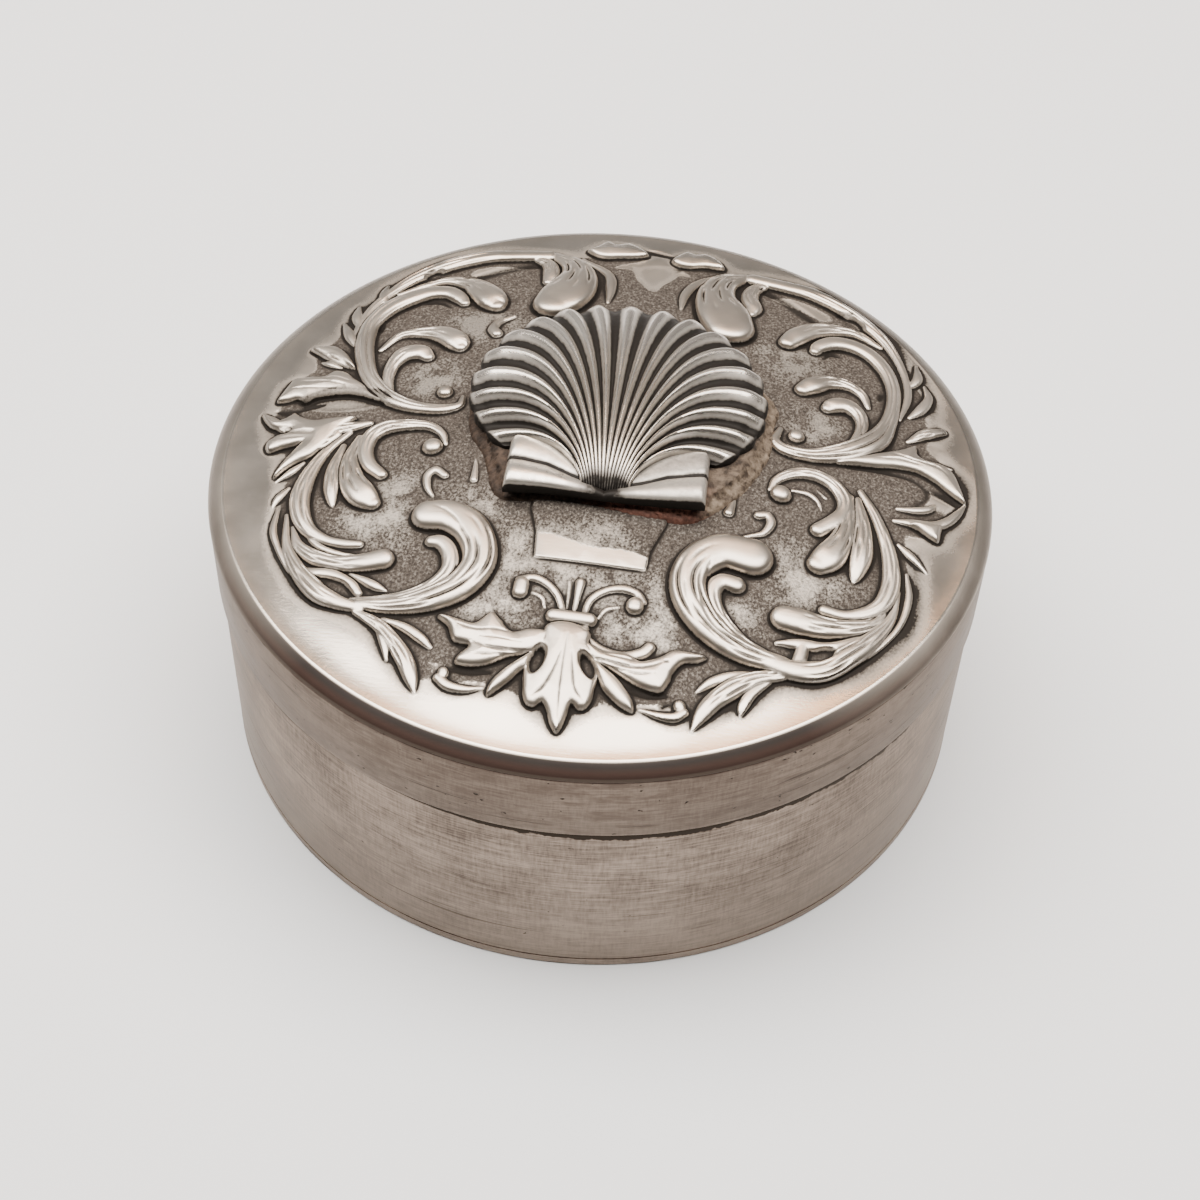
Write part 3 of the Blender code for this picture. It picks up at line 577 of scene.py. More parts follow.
front_palmette_leaves = (
    ((-30, -585, 19), (55, -585, 19)),
    ((-18, -612, 12), (48, -612, 12)),
    ((15, -575, 5), (17, -520, 8), (18, -480, 12)),
    ((-2, -575, 3), (-4, -530, 4), (-8, -480, 4)),
    ((40, -570, 8), (50, -525, 9), (80, -495, 10), (120, -482, 11), (155, -490, 11), (172, -512, 10)),
    ((155, -524, 21), (155, -530, 21)),
    ((-10, -570, 8), (-30, -525, 9), (-60, -495, 10), (-95, -482, 11), (-128, -492, 10)),
    ((-120, -505, 19), (-120, -527, 19)),
    ((75, -575, 4), (90, -547, 5), (118, -537, 4)),
    ((-55, -565, 4), (-65, -537, 5), (-90, -525, 4)),
    ((50, -630, 8), (95, -662, 12), (145, -672, 14), (188, -657, 15), (205, -636, 14)),
    ((-30, -645, 8), (-75, -668, 13), (-120, -668, 14), (-148, -650, 16), (-157, -626, 15)),
    ((205, -803, 3), (250, -812, 10), (285, -810, 13), (306, -792, 12)),
    ((294, -776, 14), (295, -780, 14)),
    ((-160, -800, 3), (-200, -810, 10), (-240, -805, 13), (-268, -785, 12)),
    ((-259, -768, 13), (-258, -774, 13)),
)
cartouche_leaves = (
    ((800, 127, 4), (840, 137, 8), (885, 134, 5)),
    ((755, -58, 5), (800, -49, 10), (835, -33, 9), (848, -13, 4)),
    ((925, 12, 4), (908, -25, 10), (885, -60, 13), (850, -88, 14), (800, -96, 12), (750, -102, 6)),
    ((490, -78, 4), (530, -78, 6), (555, -97, 5), (567, -127, 3)),
    ((550, -60, 3), (575, -82, 4)),
    ((-600, -3, 8), (-660, -25, 18), (-720, -40, 21), (-780, -42, 16), (-830, -20, 15), (-862, 5, 13),
     (-893, 35, 3)),
    ((-798, 15, 3), (-783, -10, 8), (-755, -30, 9), (-730, -38, 4)),
    ((-680, -50, 16), (-720, -95, 18), (-765, -132, 5)),
    ((-305, -110, 2), (-298, -150, 6), (-295, -190, 9)),
    ((352, -120, 2), (348, -160, 7), (342, -195, 12)),
)
# Broad lobed leaves are drawn by their outlines.
broad_leaves = (
    ((-41, -613), (-46, -655), (-60, -690), (-74, -725), (-74, -760), (-70, -784), (-66, -810),
     (-54, -832), (-36, -837), (-19, -823), (-5, -841), (6, -872), (25, -897), (37, -880), (44, -846),
     (49, -818), (68, -830), (84, -823), (94, -800), (96, -771), (99, -740), (95, -710), (80, -680),
     (66, -650), (62, -619), (10, -600)),
    ((-33, -635), (-78, -631), (-119, -644), (-156, -609), (-176, -595), (-209, -630), (-246, -624),
     (-292, -614), (-301, -622), (-272, -646), (-252, -684), (-215, -695), (-235, -724), (-235, -745),
     (-196, -749), (-155, -737), (-116, -713), (-69, -700), (-37, -680)),
    ((55, -648), (102, -667), (154, -665), (190, -678), (231, -660), (262, -635), (301, -633),
     (340, -638), (321, -656), (288, -667), (269, -696), (263, -723), (243, -754), (199, -748),
     (163, -734), (126, -715), (75, -695)),
    ((-48, -678), (-89, -714), (-122, -748), (-146, -786), (-147, -822), (-129, -808), (-104, -779),
     (-83, -750), (-66, -735), (-55, -700)),
    ((79, -686), (104, -705), (137, -727), (166, -756), (187, -786), (190, -816), (161, -807),
     (137, -789), (112, -765), (95, -734), (80, -708)),
    ((-896, 30), (-873, 15), (-848, 1), (-817, 22), (-809, 34), (-786, 17), (-746, 3), (-705, 10),
     (-640, 15), (-670, -31), (-695, -87), (-725, -132), (-758, -156), (-780, -180), (-801, -209),
     (-807, -200), (-795, -152), (-777, -108), (-767, -80), (-811, -88), (-839, -103), (-854, -85),
     (-835, -55), (-804, -36), (-832, -32), (-860, -23), (-885, 5)),
    ((590, 50), (650, 92), (700, 124), (750, 154), (790, 184), (797, 155), (815, 140), (860, 137),
     (893, 115), (912, 70), (927, 15), (900, 27), (872, 47), (842, 68), (800, 85), (750, 83), (700, 70),
     (650, 60)),
    ((830, -85), (868, -85), (868, -115), (862, -145), (838, -136), (810, -118), (785, -108),
     (800, -95)),
    ((-570, 72), (-620, 110), (-650, 145), (-680, 168), (-705, 192), (-740, 202), (-765, 180),
     (-800, 178), (-845, 170), (-853, 150), (-862, 120), (-870, 78), (-845, 77), (-815, 88), (-790, 72),
     (-765, 94), (-700, 107), (-650, 102), (-600, 83)),
    ((-700, -52), (-750, -56), (-800, -58), (-838, -62), (-857, -88), (-842, -118), (-810, -103),
     (-780, -92), (-750, -86), (-720, -90)),
    ((-690, 215), (-720, 270), (-760, 308), (-800, 312), (-833, 300), (-800, 272), (-760, 255),
     (-730, 235)),
    ((-165, 845), (-142, 872), (-115, 905), (-85, 892), (-55, 905), (-17, 885), (10, 852), (-20, 832),
     (-71, 822), (-120, 815)),
    ((75, 835), (88, 868), (115, 895), (140, 885), (168, 895), (210, 868), (225, 830), (170, 825),
     (132, 812), (100, 815)),
)
# Engraved veins, as spines of (x, y, half width).
veins = (
    ((5, -690, 2), (-5, -740, 4), (-22, -790, 5), (-45, -815, 2)),
    ((30, -690, 2), (40, -740, 4), (52, -785, 4), (75, -810, 2)),
    ((12, -640, 2), (14, -720, 3), (18, -800, 4), (24, -860, 2)),
    ((-100, -655, 2), (-150, -650, 3), (-200, -655, 3), (-250, -643, 2)),
    ((-90, -680, 2), (-140, -675, 3), (-190, -675, 2)),
    ((110, -680, 2), (160, -685, 3), (210, -682, 2)),
    ((-210, -685, 2), (-175, -700, 4), (-130, -702, 5), (-70, -697, 3)),
    ((-200, -722, 2), (-165, -720, 3), (-120, -712, 2)),
    ((240, -680, 2), (215, -695, 4), (170, -706, 5), (90, -695, 3)),
    ((230, -712, 2), (190, -722, 3), (130, -712, 2)),
    ((249, -676, 5), (252, -675, 5)),
    ((730, 128, 2), (780, 118, 4), (840, 118, 4), (875, 98, 2)),
    ((690, 92, 2), (750, 108, 3), (800, 108, 3)),
    ((-820, 149, 2), (-760, 148, 4), (-700, 135, 2)),
    ((-770, 165, 2), (-735, 165, 3), (-690, 150, 2)),
    ((-840, 120, 2), (-790, 122, 3), (-720, 122, 2)),
    ((190, 780, 2), (178, 710, 5), (183, 640, 3)),
    ((235, 770, 2), (213, 700, 6), (232, 620, 3)),
    ((-195, 780, 2), (-170, 710, 5), (-168, 640, 3)),
    ((-155, 760, 2), (-132, 690, 5), (-132, 620, 3)),
    ((262, -450, 3), (275, -500, 5), (310, -550, 5), (360, -592, 3)),
    ((300, -400, 2), (299, -450, 5), (325, -530, 6), (370, -575, 5), (460, -608, 3)),
    ((318, -370, 2), (314, -420, 4), (325, -480, 4), (360, -540, 3)),
    ((-370, -305, 2), (-340, -320, 4), (-310, -345, 5), (-285, -380, 3)),
    ((-270, -400, 3), (-262, -450, 5), (-275, -500, 5), (-310, -535, 3)),
    ((-238, -420, 2), (-235, -470, 4), (-262, -535, 4), (-330, -585, 3)),
)
# How far the worked ground reaches.
ornament_reach = (
    (20, -895), (130, -830), (300, -815), (350, -835), (400, -775), (500, -705), (610, -645),
    (710, -565), (775, -475), (810, -360), (825, -290), (800, -190), (860, -150), (895, -80), (935, 10),
    (910, 120), (860, 240), (850, 310), (830, 420), (790, 520), (720, 600), (620, 700), (500, 775),
    (380, 815), (250, 840), (130, 860), (-100, 860), (-250, 840), (-380, 810), (-500, 765), (-610, 680),
    (-700, 580), (-760, 480), (-800, 380), (-840, 290), (-860, 180), (-900, 35), (-860, -90),
    (-800, -170), (-800, -250), (-790, -330), (-755, -440), (-680, -560), (-580, -630), (-460, -690),
    (-420, -745), (-335, -835), (-270, -825), (-100, -830),
)
# The eyes of the scrolls are ovals: x, y, half length, half width, and a turn in degrees.
eye_hollows = (
    (605, -570, 35, 17, 33), (505, -578, 30, 14, 5), (-565, -548, 33, 16, -18), (600, 665, 35, 22, -40),
    (-565, 665, 30, 20, 40), (71, -715, 36, 17, -62), (-48, -715, 38, 18, 80),
)
# The plain tablet in front of the shell.
panel_corners = (
    (-135, -270), (-112, -340), (-104, -420), (165, -420), (168, -360), (195, -270), (195, 100),
    (-135, 100),
)
# Dark pockets between the leaves, oxide and painted shade, as spines of (x, y, half width).
dark_pockets = (
    ((170, -753, 8), (215, -762, 14), (262, -755, 8)),
    ((-245, -757, 7), (-200, -762, 12), (-150, -755, 7)),
    ((825, 35, 10), (865, 26, 17), (905, 8, 10)),
    ((620, 50, 4), (700, 60, 7), (770, 63, 9), (810, 48, 10), (828, 20, 10), (824, 0, 8), (800, -28, 5)),
    ((-840, -50, 6), (-790, -50, 8), (-740, -53, 4)),
    ((-860, 45, 6), (-830, 42, 20), (-790, 55, 9), (-740, 75, 4)),
    ((335, 755, 10), (360, 745, 16), (410, 715, 26), (460, 670, 28), (505, 635, 10)),
    ((-275, 750, 10), (-310, 745, 16), (-370, 720, 26), (-430, 680, 28), (-475, 645, 10)),
    ((580, 638, 9), (610, 650, 10)),
    ((555, 700, 6), (590, 700, 9)),
    ((-580, 655, 8), (-550, 668, 10)),
    ((688, 350, 10), (690, 370, 11)),
    ((-662, 390, 10), (-660, 410, 11)),
    ((-560, 530, 7), (-520, 530, 9), (-490, 510, 6)),
    ((575, 500, 7), (545, 500, 9), (530, 475, 6)),
    ((-5, 885, 10), (30, 878, 20), (70, 868, 12)),
    ((270, -775, 5), (255, -785, 8)),
)
# Smooth hollows, as outlines: the bell between the back scrolls, and one at the left.
bell_patch = (
    (-32, 789), (31, 824), (115, 806), (94, 748), (65, 706), (53, 663), (29, 673), (-12, 729),
)
smooth_hollows = (
    bell_patch,
    ((-811, 86), (-760, 119), (-697, 136), (-637, 130), (-575, 113), (-562, 89), (-586, 65), (-641, 48),
     (-697, 41), (-749, 45), (-789, 59)),
)
# Where the ground is worn bright: x, y and size.
worn_patches = (
    (-500, -300, 70), (-170, -560, 70), (190, -570, 75), (-150, -430, 50), (550, -350, 60),
    (210, -500, 30), (-270, -280, 40), (440, 430, 50), (-380, 440, 50), (530, 170, 40), (-480, 190, 40),
    (390, -500, 30), (20, -440, 50), (-60, -345, 30), (60, -360, 35),
)
leaf_lift_share, leaf_flatness, leaf_roundness = 0.8, 2.6, 0.5
# Flutes run along a leaf that is wide enough: place across it and depth.
flutes = ((-0.62, 0.42), (-0.25, 0.34), (0.15, 0.30), (0.55, 0.38))
fluted_width, flute_share = 0.017, 0.085
broad_lift, broad_edge = 0.019, 0.014
vein_depth_share = 0.9
tallest_leaf = 0.0012
panel_lift, ground_swell = 0.006, 0.0018
ground_sink, moat_sink, smooth_sink, pocket_sink = 0.0060, 0.0018, 0.004, 0.005
curve_step, least_width, far_off = 0.006, 0.0012, 9.0
# The relief is drawn on a raster, in shares of the lid's radius, and then read by the mesh.
raster_pixels = 1800
raster_half = margin_share * 1.004
axis_values = np.linspace(-raster_half, raster_half, raster_pixels)
pixel_share = axis_values[1] - axis_values[0]
grid_x, grid_y = np.meshgrid(axis_values, axis_values)
leaf_height = np.zeros((raster_pixels, raster_pixels))
pocket = np.zeros_like(leaf_height)


def shares(places):
    """Thousandths of the lid's radius as shares of it."""
    return np.array(places) / 1000


def smooth_curve(points, closed=False):
    """A Catmull-Rom curve through a leaf's points, close enough to draw."""
    points = np.array(points, float)
    if closed:
        padded = np.vstack([points[-1], points, points[:2]])
    else:
        padded = np.vstack([2 * points[0] - points[1], points, 2 * points[-1] - points[-2]])
    out = []
    for p0, p1, p2, p3 in zip(padded, padded[1:], padded[2:], padded[3:]):
        count = max(2, int(np.hypot(*(p2 - p1)[:2]) / curve_step))
        t = np.linspace(0, 1, count, endpoint=False)[:, None]
        out.append(0.5 * (2 * p1 + (p2 - p0) * t + (2 * p0 - 5 * p1 + 4 * p2 - p3) * t ** 2
                          + (3 * p1 - p0 - 3 * p2 + p3) * t ** 3))
    return np.vstack(out if closed else out + [points[-1:]])


def window_of(low, high):
    """Raster rows or columns that a stretch of the lid covers."""
    first = int((low + raster_half) / pixel_share) - 1
    last = int((high + raster_half) / pixel_share) + 3
    return max(first, 0), min(last, raster_pixels)


def along_spine(points, canvas):
    """For each place near a spine: its share of the half width across and of the length along."""
    spine = smooth_curve(points)
    spine[:, 2] = np.maximum(spine[:, 2], least_width)
    wide = spine[:, 2].max()
    x0, x1 = window_of(spine[:, 0].min() - wide, spine[:, 0].max() + wide)
    y0, y1 = window_of(spine[:, 1].min() - wide, spine[:, 1].max() + wide)
    nearest = np.full((y1 - y0, x1 - x0), far_off)
    across, width, along = np.zeros_like(nearest), np.zeros_like(nearest), np.zeros_like(nearest)
    last = len(spine) - 1
    for index, (a, b) in enumerate(zip(spine, spine[1:])):
        reach = max(a[2], b[2])
        c0, c1 = window_of(min(a[0], b[0]) - reach, max(a[0], b[0]) + reach)
        r0, r1 = window_of(min(a[1], b[1]) - reach, max(a[1], b[1]) + reach)
        dx = grid_x[r0:r1, c0:c1] - a[0]
        dy = grid_y[r0:r1, c0:c1] - a[1]
        way = b[:2] - a[:2]
        t = np.clip((dx * way[0] + dy * way[1]) / max(way @ way, 1e-12), 0, 1)
        size = a[2] + (b[2] - a[2]) * t
        offset_x = dx - t * way[0]
        offset_y = dy - t * way[1]
        ratio = np.hypot(offset_x, offset_y) / size
        part = (slice(r0 - y0, r1 - y0), slice(c0 - x0, c1 - x0))
        closer = ratio < nearest[part]
        side = np.sign(way[0] * offset_y - way[1] * offset_x)
        nearest[part] = np.where(closer, ratio, nearest[part])
        across[part] = np.where(closer, ratio * side, across[part])
        width[part] = np.where(closer, size, width[part])
        along[part] = np.where(closer, (index + t) / last, along[part])
    return canvas[y0:y1, x0:x1], nearest, across, width, along, wide


def press_leaf(points, fuller):
    """Raises one leaf: rounded across its spine, with flowing flutes on the wide ones."""
    points = [(x, y, wide * fuller) for x, y, wide in points]
    target, nearest, across, width, along, wide = along_spine(points, leaf_height)
    inside = np.clip(1 - np.minimum(nearest, 1) ** leaf_flatness, 0, 1)
    height = leaf_lift_share * width * inside ** leaf_roundness
    if wide > fluted_width and len(points) > 2:
        fade = np.clip(along / 0.15, 0, 1) * np.clip((0.86 - along) / 0.25, 0, 1)
        for place, depth in flutes:
            broken = np.clip(0.55 + 0.75 * np.sin(13 * along + 9 * place + 40 * points[0][0]), 0, 1)
            drawn = across - place * (0.8 + 0.35 * along)
            height *= 1 - depth * fade * broken * np.exp(-(drawn / flute_share) ** 2)
    np.maximum(target, height, out=target)


def cut_vein(points):
    """Engraves one line into whatever it crosses."""
    target, nearest, _, width, _, _ = along_spine(points, leaf_height)
    target -= np.where(nearest < 1, vein_depth_share * width * (1 - nearest ** 2), 0)
    np.maximum(target, 0, out=target)


def stain_and_shade(points):
    """Marks one hollow with oxide and painted shade, darkest along its spine."""
    target, nearest = along_spine(points, pocket)[:2]
    np.maximum(target, np.clip(1.5 - 1.5 * nearest, 0, 1), out=target)


def inside_outline(outline):
    """The raster window of a closed curve, and which places there lie inside it."""
    x0, x1 = window_of(outline[:, 0].min(), outline[:, 0].max())
    y0, y1 = window_of(outline[:, 1].min(), outline[:, 1].max())
    part = (slice(y0, y1), slice(x0, x1))
    x, y = grid_x[part], grid_y[part]
    inside = np.zeros(x.shape, dtype=bool)
    for (xa, ya), (xb, yb) in zip(outline, np.roll(outline, -1, 0)):
        if ya != yb:
            inside ^= ((y < ya) != (y < yb)) & (x < xa + (y - ya) * (xb - xa) / (yb - ya))
    return part, inside


def press_broad_leaf(corners):
    """Raises one lobed leaf from its outline: a rolled edge round a gently crowned face."""
    outline = smooth_curve(corners, closed=True)
    part, inside = inside_outline(outline)
    x, y = grid_x[part], grid_y[part]
    nearest = np.full(x.shape, far_off)
    for (xa, ya), (xb, yb) in zip(outline, np.roll(outline, -1, 0)):
        way_x, way_y = xb - xa, yb - ya
        t = np.clip(((x - xa) * way_x + (y - ya) * way_y) / max(way_x ** 2 + way_y ** 2, 1e-12), 0, 1)
        np.minimum(nearest, np.hypot(x - xa - t * way_x, y - ya - t * way_y), out=nearest)
    share = np.clip(nearest / broad_edge, 0, 1)
    crown = np.clip(nearest / (3 * broad_edge), 0, 1)
    height = broad_lift * (0.85 * np.sqrt(1 - (1 - share) ** 2) + 0.5 * crown)
    target = leaf_height[part]
    np.maximum(target, height * inside, out=target)


def blur(values, share):
    """Gaussian blur of the raster by a share of the lid's radius."""
    cycles = np.fft.fftfreq(raster_pixels, pixel_share)
    fall = np.exp(-2 * (math.pi * share) ** 2 * (cycles[:, None] ** 2 + cycles[None, :] ** 2))
    return np.real(np.fft.ifft2(np.fft.fft2(values) * fall))


def filled(corners, softness):
    """One inside an outline and zero outside, with a soft edge."""
    mask = np.zeros_like(leaf_height)
    part, inside = inside_outline(corners)
    mask[part] = inside
    return blur(mask, softness)


for leaves, fuller in ((front_right_leaves, 1.08), (front_left_leaves, 1.08), (back_right_leaves, 1.22),
                       (back_left_leaves, 1.22), (front_palmette_leaves, 1.0), (cartouche_leaves, 1.1)):
    for leaf in leaves:
        press_leaf(shares(leaf), fuller)
for leaf in broad_leaves:
    press_broad_leaf(shares(leaf))
for vein in veins:
    cut_vein(shares(vein))
for spine in dark_pockets:
    stain_and_shade(shares(spine))
hollow = np.ones_like(leaf_height)
for *oval, turn in eye_hollows:
    x, y, long, short = shares(oval)
    cosine, sine = math.cos(math.radians(turn)), math.sin(math.radians(turn))
    u = ((grid_x - x) * cosine + (grid_y - y) * sine) / long
    v = ((grid_y - y) * cosine - (grid_x - x) * sine) / short
    hollow *= np.clip((np.hypot(u, v) - 0.75) / 0.45, 0, 1)
leaf_height *= hollow
panel = filled(shares(panel_corners), 0.0015)
field_edge = shares(ornament_reach)
field_mask = filled(field_edge, 0.018)
random = np.random.default_rng(11)
swell = blur(random.standard_normal(leaf_height.shape), 0.03)
swell /= np.abs(swell).max()
leaf_height = tallest_leaf / lid_radius * np.tanh(leaf_height * lid_radius / tallest_leaf)
pressed = blur(np.maximum(leaf_height, panel * panel_lift), 0.0012)
pocket = blur(pocket, 0.003)
fine = blur(pressed, 0.0036) - pressed
near = blur(pressed, 0.008) - pressed
broad = blur(pressed, 0.022) - pressed
leaf_free = np.clip(1 - pressed / 0.005, 0, 1)
dull_panel = panel * np.clip((grid_y + 0.372 + 0.09 * (grid_x - 0.03) + 0.02 * swell) / 0.02, 0, 1)
smooth = sum(filled(shares(corners), 0.004) for corners in smooth_hollows)
smooth_middle = blur(smooth, 0.016)
bell = filled(shares(bell_patch), 0.016)
cover = (pressed > 0.004).astype(float)
inner_field = filled(field_edge * 0.9, 0.012)
by_leaves = np.maximum(np.clip(blur(cover, 0.032) * 3.4 - 0.2, 0, 1), inner_field)
leaf_gap = np.clip((blur(cover, 0.009) - 0.45) / 0.2, 0, 1)
stippled = filled(field_edge * 0.97, 0.016)
ground = (np.maximum(leaf_free * (1 - leaf_gap), dull_panel) * (1 - 0.9 * smooth)
          * np.clip((stippled * by_leaves + 0.2 * swell - 0.35) / 0.5, 0, 1))
haze = np.clip(blur(cover, 0.020) * 2.0 - 0.15, 0, 1) * leaf_free
dull_right = np.clip((grid_x - 0.5) / 0.25, 0, 1) * np.clip(blur(cover, 0.055) * 2.4, 0, 0.6)
rim_haze = np.clip(blur(cover, 0.036) * 2.6 - 0.1 + dull_right, 0, 1) * leaf_free * (1 - stippled)
moat = np.clip(near / 0.004, 0, 1) * leaf_free
# Heights: leaves up, ground down, a moat round each leaf, and hollows and pockets below that.
sunk_ground = ground_sink * blur(field_mask * by_leaves, 0.028)
relief = (pressed - sunk_ground - moat_sink * moat - smooth_sink * smooth_middle
          + ground * swell * ground_swell - pocket_sink * pocket) * lid_radius
# Oxide lies in creases, beside leaves, in wide hollows, eyes and pockets, and hazes the rim;
# beside the leaves and in the pockets it is partly painted shade.
creases = np.clip(fine / 0.0009, 0, 1) * 0.55
beside_leaves = np.clip(near / 0.006, 0, 1) * 0.48
wide_hollows = np.clip(broad / 0.012, 0, 1) * 0.38
in_smooth = smooth * (0.45 + 0.8 * np.clip(smooth - smooth_middle, 0, 1))
oxide_and_shade = (creases + beside_leaves + wide_hollows + (1 - hollow) * 0.4 + pocket * 0.75 + in_smooth
         + haze * 0.30 + rim_haze * (0.58 + 0.3 * swell) - bell * 0.35) * (0.5 + 0.5 * hollow)
worked = np.clip(field_mask * 1.4 - 0.3, 0, 1)
worn = np.zeros_like(leaf_height)
for x, y, size in shares(worn_patches):
    worn += np.exp(-((grid_x - x) ** 2 + (grid_y - y) ** 2) / (2 * size ** 2))
rubbed = np.clip(worn * 1.5 + 0.04, 0, 1) * np.clip(1.1 - broad / 0.009, 0, 1)


def sample(values, x, y):
    """Reads a raster at places given in shares of the lid's radius."""
    column = np.clip((x + raster_half) / pixel_share, 0, raster_pixels - 1.001)
    row = np.clip((y + raster_half) / pixel_share, 0, raster_pixels - 1.001)
    c, r = column.astype(int), row.astype(int)
    fc, fr = column - c, row - r
    low = values[r, c] * (1 - fc) + values[r, c + 1] * fc
    high = values[r + 1, c] * (1 - fc) + values[r + 1, c + 1] * fc
    return low * (1 - fr) + high * fr


def disc_grid(count):
    """A square grid bent to a disc of radius one, and the order of its rim."""
    a, b = np.meshgrid(np.linspace(-1, 1, count), np.linspace(-1, 1, count))
    x = a * np.sqrt(1 - b ** 2 / 2)
    y = b * np.sqrt(1 - a ** 2 / 2)
    index = np.arange(count * count).reshape(count, count)
    rim = np.concatenate([index[0, :-1], index[:-1, -1], index[-1, :0:-1], index[:0:-1, 0]])
    quads = np.stack([index[:-1, :-1], index[:-1, 1:], index[1:, 1:], index[1:, :-1]], -1)
    return x.ravel(), y.ravel(), quads.reshape(-1, 4), rim


def make_field():
    """The relief as a fine closed sheet, thinned where it is smooth."""
    count = 860
    under_rings, rim_fade, most_triangles = 12, 0.025, 188000
    x, y, quads, rim = disc_grid(count)
    x, y = x * margin_radius, y * margin_radius
    radius = np.hypot(x, y)
    fade = np.clip((1 - radius / margin_radius) / rim_fade, 0, 1)
    top = dome(radius) + sample(relief, x / lid_radius, y / lid_radius) * fade
    vertices = np.column_stack([x, y, top])
    loops = [rim]
    for ring in range(under_rings):
        share = 1 - ring / under_rings
        rx, ry = x[rim] * share, y[rim] * share
        z = dome(np.hypot(rx, ry)) - sheet_thickness
        loops.append(np.arange(len(rim)) + len(vertices))
        vertices = np.vstack([vertices, np.column_stack([rx, ry, z])])
    vertices = np.vstack([vertices, [0, 0, float(dome(0)) - sheet_thickness]])
    sides = [np.stack([a, b, np.roll(b, -1), np.roll(a, -1)], -1) for a, b in zip(loops, loops[1:])]
    faces = np.vstack([quads] + sides).tolist()
    final = loops[-1]
    middle = len(vertices) - 1
    faces += [(int(a), middle, int(b)) for a, b in zip(final, np.roll(final, -1))]
    mesh = bpy.data.meshes.new("embossed_field")
    mesh.from_pydata(vertices.tolist(), [], faces)
    holder = placed("embossed_field", mesh)
    thin = holder.modifiers.new("Thin", "DECIMATE")
    thin.ratio = most_triangles / (2 * len(faces))
    result = outward(finished_mesh(holder))
    places = np.empty(len(result.vertices) * 3)
    result.vertices.foreach_get("co", places)
    places = places.reshape(-1, 3) / lid_radius
    for label, values in (("oxide_and_shade", oxide_and_shade), ("rubbed", rubbed), ("ground", ground), ("worked", worked)):
        attribute(result, label, sample(values, places[:, 0], places[:, 1]))
    return result


field = shown("embossed_field", make_field(), lid_finish)
dress(field, "lid", "embossed_silver", "lid_plate")

# SHELL BED
# The reddish brown bed of solder and cement that holds the shell up off the pillowed lid. It
# was squeezed out unevenly as a crust, most of all along the hinge edge and at the right.
shell_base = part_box("shell_bond")[1][2]
shell_place = (0.0011, -0.0069)
shell_turn = math.radians(2.2)
# The outline is in thousandths of the lid's radius, in the shell's own plane.
bed_outline = (
    (-217, -7), (-60, -4), (0, -14), (80, -26), (160, -31), (210, -27), (243, -8), (273, 20), (320, 73),
    (353, 130), (383, 207), (397, 273), (397, 340), (407, 413), (373, 467), (310, 533), (167, 633),
    (0, 667), (-167, 633), (-300, 533), (-367, 433), (-373, 300), (-360, 217), (-320, 147), (-297, 83),
    (-277, 20), (-247, -7),
)
bed_middle = (10, 300)
# Each row of its wall: share of the outline, share of the height, roughness.
bed_rows = ((1.012, -0.3, 0.2), (1.002, 0.06, 0.7), (0.99, 0.18, 1.0), (0.972, 0.28, 1.0),
            (0.955, 0.42, 1.0), (0.942, 0.66, 1.0), (0.93, 0.9, 0.8), (0.91, 0.99, 0.4),
            (0.87, 0.99, 0.0), (0.6, 0.99, 0.0), (0.3, 0.99, 0.0))
crumble = 0.00017
crust_cycles = (9, 17, 29, 43, 61, 83, 118, 160)


def place_on_lid(x, y, z):
    """The shell's own plane, turned and moved to its place on the lid."""
    cosine, sine = math.cos(shell_turn), math.sin(shell_turn)
    return np.stack([shell_place[0] + x * cosine - y * sine,
                     shell_place[1] + x * sine + y * cosine, z], -1)


def make_bed():
    """A slab from the lid up to the shell, with a crumbly wall, as one closed mesh."""
    outline = smooth_curve(shares(bed_outline), closed=True)
    outline = np.stack([outline, (outline + np.roll(outline, -1, 0)) / 2], 1).reshape(-1, 2)
    middle = shares(bed_middle)
    count = len(outline)
    turn = np.linspace(0, 2 * math.pi, count, endpoint=False)
    chance = np.random.default_rng(5)
    rings = []
    for spread, rise, rough in bed_rows:
        waves = sum(chance.uniform(0.3, 1) * np.sin(turn * cycles + chance.uniform(0, 6.3))
                    for cycles in crust_cycles) / 4
        x, y = (middle + (outline - middle) * spread).T
        flat = place_on_lid(x * lid_radius, y * lid_radius, np.zeros(count))
        away = flat[:, :2] - place_on_lid(*(middle * lid_radius), 0.0)[:2]
        away /= np.hypot(away[:, 0], away[:, 1])[:, None]
        flat[:, :2] += away * (waves * rough * crumble)[:, None]
        foot = dome(np.hypot(flat[:, 0], flat[:, 1]))
        flat[:, 2] = foot + rise * (shell_base - foot) + waves * rough * crumble * 0.5 * (rise > 0.2)
        rings.append(flat)
    vertices = np.vstack(rings)
    faces = ring_quads(len(rings), count, False)
    faces += [tuple(range(count)), tuple(range(len(vertices) - count, len(vertices)))]
    mesh = faced_mesh("cement_bed", vertices, faces)
    dust = np.repeat([0.0 if rise < 0 else 0.8 - 0.6 * rise for _, rise, _ in bed_rows], count)
    right_side = np.tile(np.clip((outline[:, 0] - 0.22) / 0.06, 0, 1), len(bed_rows))
    attribute(mesh, "dust", dust * right_side)
    front = np.clip((0.05 - outline[:, 1]) / 0.05, 0, 1) * np.clip((outline[:, 0] + 0.08) / 0.08, 0, 1)
    attribute(mesh, "ember", np.tile(front, len(bed_rows)))
    return mesh


